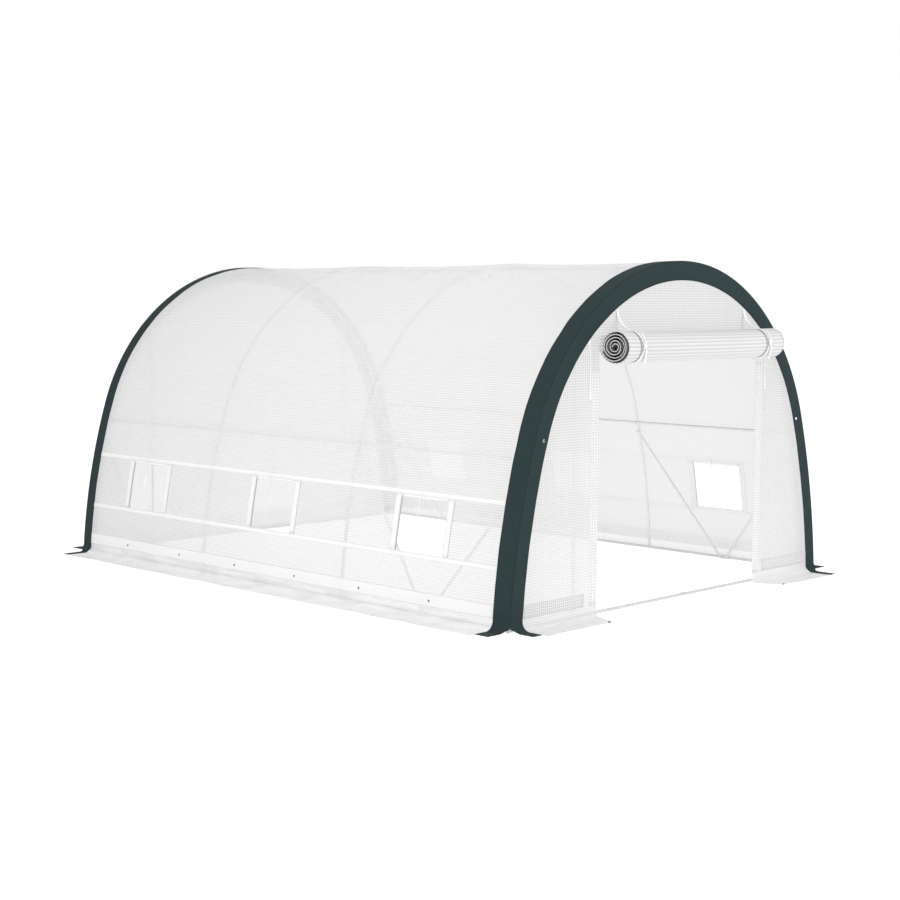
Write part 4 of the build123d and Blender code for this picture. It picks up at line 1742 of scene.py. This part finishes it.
@dataclass
class DoorTies(Assembly):
    """The straps that hold the roll up, with their knots, and the loose ones beside it."""

    door: RolledDoor
    surface: GableFace
    width: float = 0.018
    thickness: float = 0.0016
    inner_y: float = -2.0165
    sag: float = 0.003
    loose_width: float = 0.017
    tuck: float = 0.012

    def build(self) -> None:
        """Make both kinds of tie."""
        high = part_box("roll_ties")[1].z
        sketch, total = MeshSketch(), 0.0
        for hand in (-1, 1):
            total += self.ring(sketch, hand, high)
            total += self.knot(sketch, hand)
        ties = self.fit(sketch, "roll_tie_straps", Slot.TIE, [self.finishes.strap], ["roll_ties"])
        self.loose_ties()

    def ring(self, sketch: MeshSketch, hand: int, high: float) -> float:
        """Add the strap from the trim round the roll and up behind the gable.

        Args:
            sketch: The mesh.
            hand: -1 on the left and 1 on the right.
            high: Where the strap is sewn under the trim.

        Returns:
            The strap's length.
        """
        x = hand * self.door.tie_at
        radius = float(self.door.radius * self.door.plump(x)) * 1.03 + self.thickness
        axis_y, axis_z = self.door.axis
        turn = np.radians(np.linspace(92, 330, 48))
        level = axis_z - self.sag
        round_roll = stacked(axis_y + radius * np.cos(turn), level + radius * np.sin(turn))
        falls = ((-2.0215, 0.002), (-2.027, 0.028), (-2.044, 0.062), (-2.076, 0.094))
        start = [(y, high - fall) for y, fall in falls]
        down = eased_line([*start, round_roll[0], round_roll[3]], 26)
        touch = int(np.argmin(np.abs(down - round_roll[0]).sum(axis=1)))
        turned = (self.inner_y - 0.004, axis_z - 0.022)
        up = eased_line([round_roll[-1], turned, (self.inner_y, axis_z + 0.03), (self.inner_y, high)], 24)
        flat = np.vstack([down[:touch], round_roll, up[1:]])
        pulled = np.hypot(flat[:, 0] - (axis_y - radius), flat[:, 1] - axis_z)
        drift = x + 0.012 * smooth(0.10, 0.0, pulled)
        return strap(sketch, np.column_stack([drift, flat]), (1, 0, 0), (self.width, self.thickness))

    def knot(self, sketch: MeshSketch, hand: int) -> float:
        """Add the knot at the roll's front with its two loose tails.

        Args:
            sketch: The mesh.
            hand: -1 on the left and 1 on the right.

        Returns:
            The length of strap in it.
        """
        x = hand * self.door.tie_at
        radius = float(self.door.radius * self.door.plump(x)) * 1.03 + 2.5 * self.thickness
        axis_y, axis_z = self.door.axis

        def on_roll(angle: float, shift: float, off: float) -> tuple[float, float, float]:
            """Find a point round the roll.

            Args:
                angle: Degrees from the back over the top.
                shift: Distance along the roll.
                off: Distance off the roll.

            Returns:
                The point.
            """
            turn = math.radians(angle)
            reach = radius + off
            return x + shift, axis_y + reach * math.cos(turn), axis_z - self.sag + reach * math.sin(turn)

        total = 0.0
        for count, across, spots in KNOT_STRANDS:
            strand = eased_line([on_roll(*spot) for spot in spots], count)
            total += strap(sketch, strand, across, (self.width, self.thickness))
        return total

    def loose_ties(self) -> None:
        """Make the straps that hang loose beside the roll."""
        low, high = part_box("hanging_ties")
        middle = high.x - self.loose_width / 2
        sketch, total = MeshSketch(), 0.0
        for hand in (-1, 1):
            drop = np.linspace(0, 1, 24)
            z = high.z - self.tuck + (low.z - high.z + self.tuck) * drop
            x = hand * middle + 0.010 * drop + 0.003 * np.sin(drop * 5.0)
            off = 0.0016 + 0.004 * drop * (1 - 0.4 * drop)
            path = self.surface.place(x, z, 0.0)
            path[:, 1] -= off
            twist = 0.35 * np.sin(drop * 3.0)
            across = np.stack([np.cos(twist), np.sin(twist), 0 * twist], axis=-1)
            total += strap(sketch, path, across, (self.loose_width, self.thickness))
        ties = self.fit(sketch, "loose_tie_straps", Slot.TIE, [self.finishes.strap], ["hanging_ties"])


@dataclass
class WindowTies(Assembly):
    """Pairs of straps over each window, one outside and one inside the net.

    Each strap of a pair has how far it stands proud of the sheet, and how far it leans along Y.
    """

    skin: CoverSkin
    bays: tuple[float, ...]
    width: float = 0.012
    thickness: float = 0.0013
    shift: float = 0.044
    tuck: float = 0.012
    inner_length: float = 0.93
    outer: tuple[float, float] = (0.0040, -0.022)
    inner: tuple[float, float] = (-0.0068, 0.026)

    def build(self) -> None:
        """Make the straps on both walls."""
        low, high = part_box("window_ties")
        top, bottom = self.skin.arch.arc_at(high.z), self.skin.arch.arc_at(low.z)
        sketch, total = MeshSketch(), 0.0
        for side in Side:
            for number, bay in enumerate(self.bays):
                for proud, lean in (self.outer, self.inner):
                    drop = np.linspace(0, 1, 18)
                    share = 1.0 if proud > 0 else self.inner_length
                    arcs = top + self.tuck + (bottom - top - self.tuck) * drop * share
                    y = bay + self.shift + lean * drop**1.4 + 0.002 * np.sin(drop * 6 + number)
                    path = self.skin.place(side.value * arcs, y, proud)
                    twist = 0.5 * np.sin(drop * 2.6 + number)
                    across = np.stack([np.sin(twist), np.cos(twist), 0 * twist], axis=-1)
                    total += strap(sketch, path, across, (self.width, self.thickness))
        materials = [self.finishes.strap]
        ties = self.fit(sketch, "window_tie_straps", Slot.TIE, materials, ["window_ties"])


@dataclass
class Skeleton(Assembly):
    """The steel frame: bent hoops, straight tubes, brace sleeves and their bolts."""

    arch: ArchProfile
    stations: tuple[float, ...]
    tube: float = 0.0095
    brace: float = 0.008
    hoop_inset: float = 0.012
    sides: int = 24
    bolt: float = 0.0045
    play: float = 0.0003
    ground_gap: float = 0.0006
    brace_head: float = 0.86
    foot_shift: float = 0.022
    sleeve_half: float = 0.04
    chamfer: float = 0.0008
    joint_bolts: tuple[float, float] = (0.085, 0.115)

    def circle(self, radius: float) -> Array:
        """A round section."""
        turn = np.linspace(0, 2 * math.pi, self.sides, endpoint=False)
        return np.stack([radius * np.cos(turn), radius * np.sin(turn)], axis=-1)

    def steel(self, sketch: MeshSketch, name: str, nodes: Sequence[str]) -> None:
        """Fit a steel piece."""
        self.fit(sketch, name, Slot.TUBE, [self.finishes.steel], nodes)

    def build(self) -> None:
        """Make the frame."""
        self.hoops()
        self.straight_tubes()
        self.braces()
        self.sleeves()
        self.bolts()

    def hoops(self) -> None:
        """Make the bent hoops."""
        edge = self.arch.arc_at(0.0)
        arcs = divided(-edge, edge, 0.035)
        names = ("hoop_front", "hoop_second", "hoop_third", "hoop_back")
        for name, station in zip(names, self.stations):
            x, z = self.arch.place(arcs, self.hoop_inset)
            z = np.maximum(z, self.ground_gap)
            sketch = MeshSketch()
            sketch.sweep(stacked(x, station, z), self.circle(self.tube), (0, 1, 0))
            self.steel(sketch, f"{name}_tube", [name])

    def straight_tubes(self) -> None:
        """Make the purlins, rails, cross tubes and posts from their boxes."""
        singles = (
            "ridge_purlin", "left_purlin", "right_purlin", "left_base_rail", "right_base_rail",
            "front_threshold", "back_sill",
        )
        for name in singles:
            low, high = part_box(name)
            sketch = MeshSketch()
            self.run(sketch, low, high)
            self.steel(sketch, f"{name}_tube", [name])
        for name in ("front_door_posts", "back_posts"):
            low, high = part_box(name)
            sketch = MeshSketch()
            for hand in (-1, 1):
                near, far = sorted((hand * (high.x - 2 * self.tube), hand * high.x))
                self.run(sketch, Vector((near, low.y, low.z)), Vector((far, high.y, high.z)))
            self.steel(sketch, f"{name}_tubes", [name])

    def run(self, sketch: MeshSketch, low: Vector, high: Vector) -> None:
        """Add a tube along the longest side of a box.

        Args:
            sketch: The mesh.
            low: The box's least corner.
            high: Its greatest corner.
        """
        size, middle = high - low, (low + high) / 2
        axis = max(range(3), key=lambda n: size[n])
        path = np.repeat(np.array([middle]), 12, axis=0)
        path[:, axis] = np.linspace(low[axis], high[axis], 12)
        sketch.sweep(path, self.circle(self.tube), (0, 0, 1) if axis < 2 else (1, 0, 0))

    def braces(self) -> None:
        """Make the V braces."""
        for side in Side:
            name = f"{side.name.lower()}_braces"
            sketch = MeshSketch()
            for foot, head in self.brace_ends(side):
                path = np.linspace(foot, head, 10)
                sketch.sweep(path, self.circle(self.brace), (1, 0, 0))
            self.steel(sketch, f"{name}_tubes", [name])

    def sleeves(self) -> None:
        """Make the sleeves at the braces' feet, with their nuts."""
        low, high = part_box("brace_clamps")
        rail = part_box("right_base_rail")
        centre = (rail[0] + rail[1]) / 2
        bore, outer, half = self.tube + self.play, high.z / 2, self.sleeve_half
        blunt, short = outer - self.chamfer, half - self.chamfer
        wall = [
            (bore, -half), (blunt, -half), (outer, -short), (outer, short), (blunt, half), (bore, half),
            (bore, -half),
        ]
        sketch = MeshSketch()
        for x in (-centre.x, centre.x):
            for y in (low.y + half, high.y - half):
                sketch.lathe(wall, (x, y, outer), (0, 1, 0), 28)
                for shift in (-self.foot_shift, self.foot_shift):
                    self.nut(sketch, (x, y + shift, outer + outer * 0.96), (0, 0, 1), 0.75)
        self.steel(sketch, "brace_sleeves", ["brace_clamps"])

    def brace_ends(self, side: Side) -> list[tuple[Vector, Vector]]:
        """Find where the braces end.

        Args:
            side: The tunnel's side.

        Returns:
            The foot and head of each brace.
        """
        low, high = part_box("right_braces")
        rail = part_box("right_base_rail")
        foot_z = (rail[0].z + rail[1].z) / 2
        foot_x = high.x - self.brace
        head_x = low.x + self.brace
        ends = []
        for pair in (self.stations[:2], self.stations[-2:]):
            bay = sum(pair) / 2
            for station in pair:
                foot_y = bay + math.copysign(self.foot_shift, station - bay)
                foot = Vector((side.value * foot_x, foot_y, foot_z))
                ends.append((foot, Vector((side.value * head_x, station, self.brace_head))))
        return ends

    def nut(self, sketch: MeshSketch, at: Floats, axis: Floats, size: float = 1.0) -> None:
        """Add a washer, a nut and the end of its bolt.

        Args:
            sketch: The mesh.
            at: Where the washer lies.
            axis: The bolt's direction.
            size: Its size beside the usual bolt's.
        """
        washer = [(0, 0), (2.0, 0), (2.0, 0.25), (0, 0.25)]
        nut = [(0, 0.25), (1.55, 0.25), (1.6, 0.4), (1.6, 1.3), (1.4, 1.5), (0, 1.5)]
        tip = [(0.75, 1.4), (0.75, 2.1), (0.55, 2.4), (0, 2.4)]
        for profile, sides in ((washer, 18), (nut, 6), (tip, 12)):
            sketch.lathe(self.bolt * size * np.array(profile), at, axis, sides)

    def bolts(self) -> None:
        """Make the bolts where purlins and braces meet the hoops, and at the threshold's joint."""
        sketch = MeshSketch()
        inset = self.hoop_inset + 3 * self.tube + self.play
        purlin_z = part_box("right_purlin")
        arc = self.arch.arc_at((purlin_z[0].z + purlin_z[1].z) / 2)
        for station in self.stations:
            for spot in (-arc, 0.0, arc):
                x, z = self.arch.place(np.array(spot), inset)
                ahead_x, ahead_z = self.arch.place(np.array(spot), inset + 1.0)
                axis = (float(ahead_x - x), 0.0, float(ahead_z - z))
                self.nut(sketch, (float(x), station, float(z)), axis)
        for side in Side:
            for _, head in self.brace_ends(side):
                at = (head.x - side.value * self.brace * 0.95, head.y, head.z - 0.012)
                self.nut(sketch, at, (-side.value, 0, -0.25))
        low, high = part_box("front_threshold")
        for shift in self.joint_bolts:
            self.nut(sketch, (shift, (low.y + high.y) / 2, high.z), (0, 0, 1), 0.8)
        self.steel(sketch, "frame_bolts", [])


@dataclass
class Eyelets(Assembly):
    """Small rings in the side bands and the front trim, and studs at the skirts' door corners."""

    skin: CoverSkin
    surface: GableFace
    ring: float = 0.0085
    hole: float = 0.0068
    band_z: float = 0.097
    pitch: float = 0.579
    shift: float = 0.042
    count: int = 6
    proud: float = 0.0022
    stud_at: tuple[float, float] = (0.868, 0.016)
    stud: tuple[tuple[float, float], ...] = ((0.007, -0.001), (0.007, 0.004), (0.005, 0.006), (0, 0.0064))
    trim_spot: tuple[float, float] = (1.237, 1.02)
    sides: int = 22

    def eyelet(self, sketch: MeshSketch, at: Array, axis: Floats) -> None:
        """Add a rolled ring and the shaded hole in it.

        Args:
            sketch: The mesh.
            at: The ring's middle.
            axis: The way it faces.
        """
        r, h = self.ring, self.hole
        outside = [(r, -0.001), (r, 0.0006), (r * 0.93, 0.0014), (r * 0.8, 0.0018)]
        inside = [(h * 1.15, 0.0014), (h, 0.0004), (h, -0.001)]
        sketch.lathe(outside + inside, at, axis, self.sides)
        sketch.lathe([(h, 0.0003), (0, 0.0003)], at, axis, self.sides, finish=1)

    def build(self) -> None:
        """Make the rings and the studs."""
        sketch = MeshSketch()
        arc = self.skin.arch.arc_at(self.band_z)
        for side in Side:
            for number in range(self.count):
                y = self.shift + (number - (self.count - 1) / 2) * self.pitch
                at = self.skin.place(np.array(side.value * arc), np.array(y), 0.002)
                self.eyelet(sketch, at, (side.value, 0, 0.07))
        low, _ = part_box("front_skirts")
        for hand in (-1, 1):
            at = (hand * self.stud_at[0], low.y + self.stud_at[1], self.proud)
            sketch.lathe(self.stud, at, (0, 0, 1), self.sides, finish=1)
        self.fit(sketch, "band_eyelets", Slot.TUBE, [self.finishes.steel, self.finishes.hole])
        sketch = MeshSketch()
        for hand in (-1, 1):
            x, z = np.array(hand * self.trim_spot[0]), np.array(self.trim_spot[1])
            at = self.surface.place(x, z, self.proud)
            self.eyelet(sketch, at, (0, self.surface.end.value, 0))
        self.fit(sketch, "trim_eyelets", Slot.TIE, [self.finishes.strap, self.finishes.strap])


@dataclass
class Studio:
    """The camera at the photograph's angle, a pale floor and soft light."""

    spot: tuple[float, float, float] = (-7.987, -7.891, 1.796)
    azimuth: float = math.radians(45.748)
    pitch: float = math.radians(5.295)
    roll: float = math.radians(0.295)
    lens: float = 66.47
    sensor: float = 36.0
    floor_half: float = 60.0
    floor_level: float = -0.0015
    backdrop: float = 1.0
    sky: float = 0.68
    floor_glow: float = 0.55
    floor_fill: float = 0.34
    bounce: float = 14.0

    def build(self) -> None:
        """Set up everything round the tunnel."""
        bpy.context.scene.view_settings.view_transform = "Standard"
        self.camera()
        self.light()
        self.floor()

    def camera(self) -> None:
        """Place the camera."""
        az, dip = self.azimuth, self.pitch
        ahead = Vector((math.sin(az) * math.cos(dip), math.cos(az) * math.cos(dip), -math.sin(dip)))
        level = Vector((math.cos(az), -math.sin(az), 0))
        above = level.cross(ahead)
        right = math.cos(self.roll) * level + math.sin(self.roll) * above
        up = math.cos(self.roll) * above - math.sin(self.roll) * level
        data = bpy.data.cameras.new("photo_camera")
        data.lens, data.sensor_width, data.sensor_fit = self.lens, self.sensor, "HORIZONTAL"
        data.clip_end = 300
        camera = bpy.data.objects.new("photo_camera", data)
        turn = Matrix((right, up, -ahead)).transposed().to_4x4()
        camera.matrix_world = Matrix.Translation(self.spot) @ turn
        bpy.context.scene.collection.objects.link(camera)
        bpy.context.scene.camera = camera

    def light(self) -> None:
        """Make the even white surround, two wide lamps and the light off the floor inside."""
        world = bpy.data.worlds.new("white_surround")
        bpy.context.scene.world = world
        bench = ShaderBench(world)
        lit, shown = (
            bench.node("ShaderNodeBackground", inputs={"Color": grey(1), "Strength": level}).outputs[0]
            for level in (self.sky, self.backdrop)
        )
        surround = bench.mix(bench.ray("Is Camera Ray"), lit, shown)
        bench.node("ShaderNodeOutputWorld", inputs={"Surface": surround})
        self.lamp("key_lamp", (-7.0, -4.0, 6.5), 5.0, 260.0)
        self.lamp("fill_lamp", (3.0, -8.0, 4.0), 5.0, 160.0)
        inner = self.lamp("floor_bounce", (0.0, 0.0, 0.01), 2.4, self.bounce)
        inner.data.shape, inner.data.size_y = "RECTANGLE", 3.8
        inner.visible_camera = False

    def lamp(self, name: str, at: Floats, size: float, power: float) -> Thing:
        """Add a wide lamp that looks at the tunnel's middle.

        Args:
            name: The lamp's name.
            at: Its place.
            size: How wide it is.
            power: How strong it is, in watts.

        Returns:
            The lamp.
        """
        data = bpy.data.lights.new(name, "AREA")
        data.shape, data.size, data.energy = "DISK", size, power
        lamp = bpy.data.objects.new(name, data)
        lamp.location = at
        lamp.rotation_euler = (Vector((0, 0, 0.8)) - Vector(at)).to_track_quat("-Z", "Y").to_euler()
        bpy.context.scene.collection.objects.link(lamp)
        return lamp

    def floor(self) -> None:
        """Lay the pale floor."""
        half = self.floor_half
        mesh = bpy.data.meshes.new("pale_floor")
        corners = [(half * x, half * y, self.floor_level) for x, y in ((-1, -1), (1, -1), (1, 1), (-1, 1))]
        mesh.from_pydata(corners, [], [(0, 1, 2, 3)])
        floor = bpy.data.objects.new("pale_floor", mesh)
        bpy.context.scene.collection.objects.link(floor)
        bench = ShaderBench.for_material("pale_floor")
        seen = bench.ray("Is Camera Ray")
        glow = bench.blend(seen, grey(self.floor_fill), grey(self.floor_glow))
        rest = {"Specular IOR Level": 0.0, "Emission Color": glow, "Emission Strength": 1.0}
        mesh.materials.append(bench.finish(bench.principled(grey(0.82), 0.9, rest=rest)))


def hoop_stations() -> tuple[float, ...]:
    """The hoops' places along Y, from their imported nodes."""
    boxes = [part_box(name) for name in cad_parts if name.startswith("hoop_")]
    return tuple(sorted((low.y + high.y) / 2 for low, high in boxes))


def window_places() -> tuple[float, ...]:
    """Find the windows along Y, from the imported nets.

    Returns:
        The windows' middles.
    """
    low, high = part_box("left_window_nets")
    reach = SideWall.window / 2 + SideWall.strip
    return low.y + reach, (low.y + high.y) / 2, high.y - reach


def main() -> None:
    """Build the tunnel's pieces in order, then the studio."""
    logging.basicConfig(level=logging.INFO, format="%(message)s")
    low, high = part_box("roof_cover")
    arch = ArchProfile(1.5, high.z)
    stations = hoop_stations()
    bays = window_places()
    folds = scattered_folds(11, 70, (-1.9, low.y), (1.9, high.y), math.pi / 2, 0.0036)
    folds += scattered_folds(23, 44, (-0.9, low.y), (0.9, high.y), 1.1, 0.0095)
    skin = CoverSkin(arch, stations, folds=folds)
    front = GableFace(arch, End.FRONT, high.y, scattered_folds(5, 26, (-1.4, 0.2), (1.4, 1.9), 0.2, 0.0022))
    back = GableFace(arch, End.BACK, high.y, scattered_folds(9, 30, (-1.4, 0.2), (1.4, 1.9), 0.2, 0.0025))
    finishes = Finishes()
    door = RolledDoor(finishes)
    for assembly in (
        Skeleton(finishes, arch, stations),
        RoofCover(finishes, skin),
        SideWall(finishes, skin, Side.LEFT, bays),
        SideWall(finishes, skin, Side.RIGHT, bays),
        FrontEnd(finishes, front),
        BackEnd(finishes, back),
        EdgeTrim(finishes, skin, End.FRONT, high.y),
        EdgeTrim(finishes, skin, End.BACK, high.y),
        door,
        DoorTies(finishes, door, front),
        WindowTies(finishes, skin, bays),
        Eyelets(finishes, skin, front),
        Studio(),
    ):
        assembly.build()


if __name__ == "__main__":
    main()
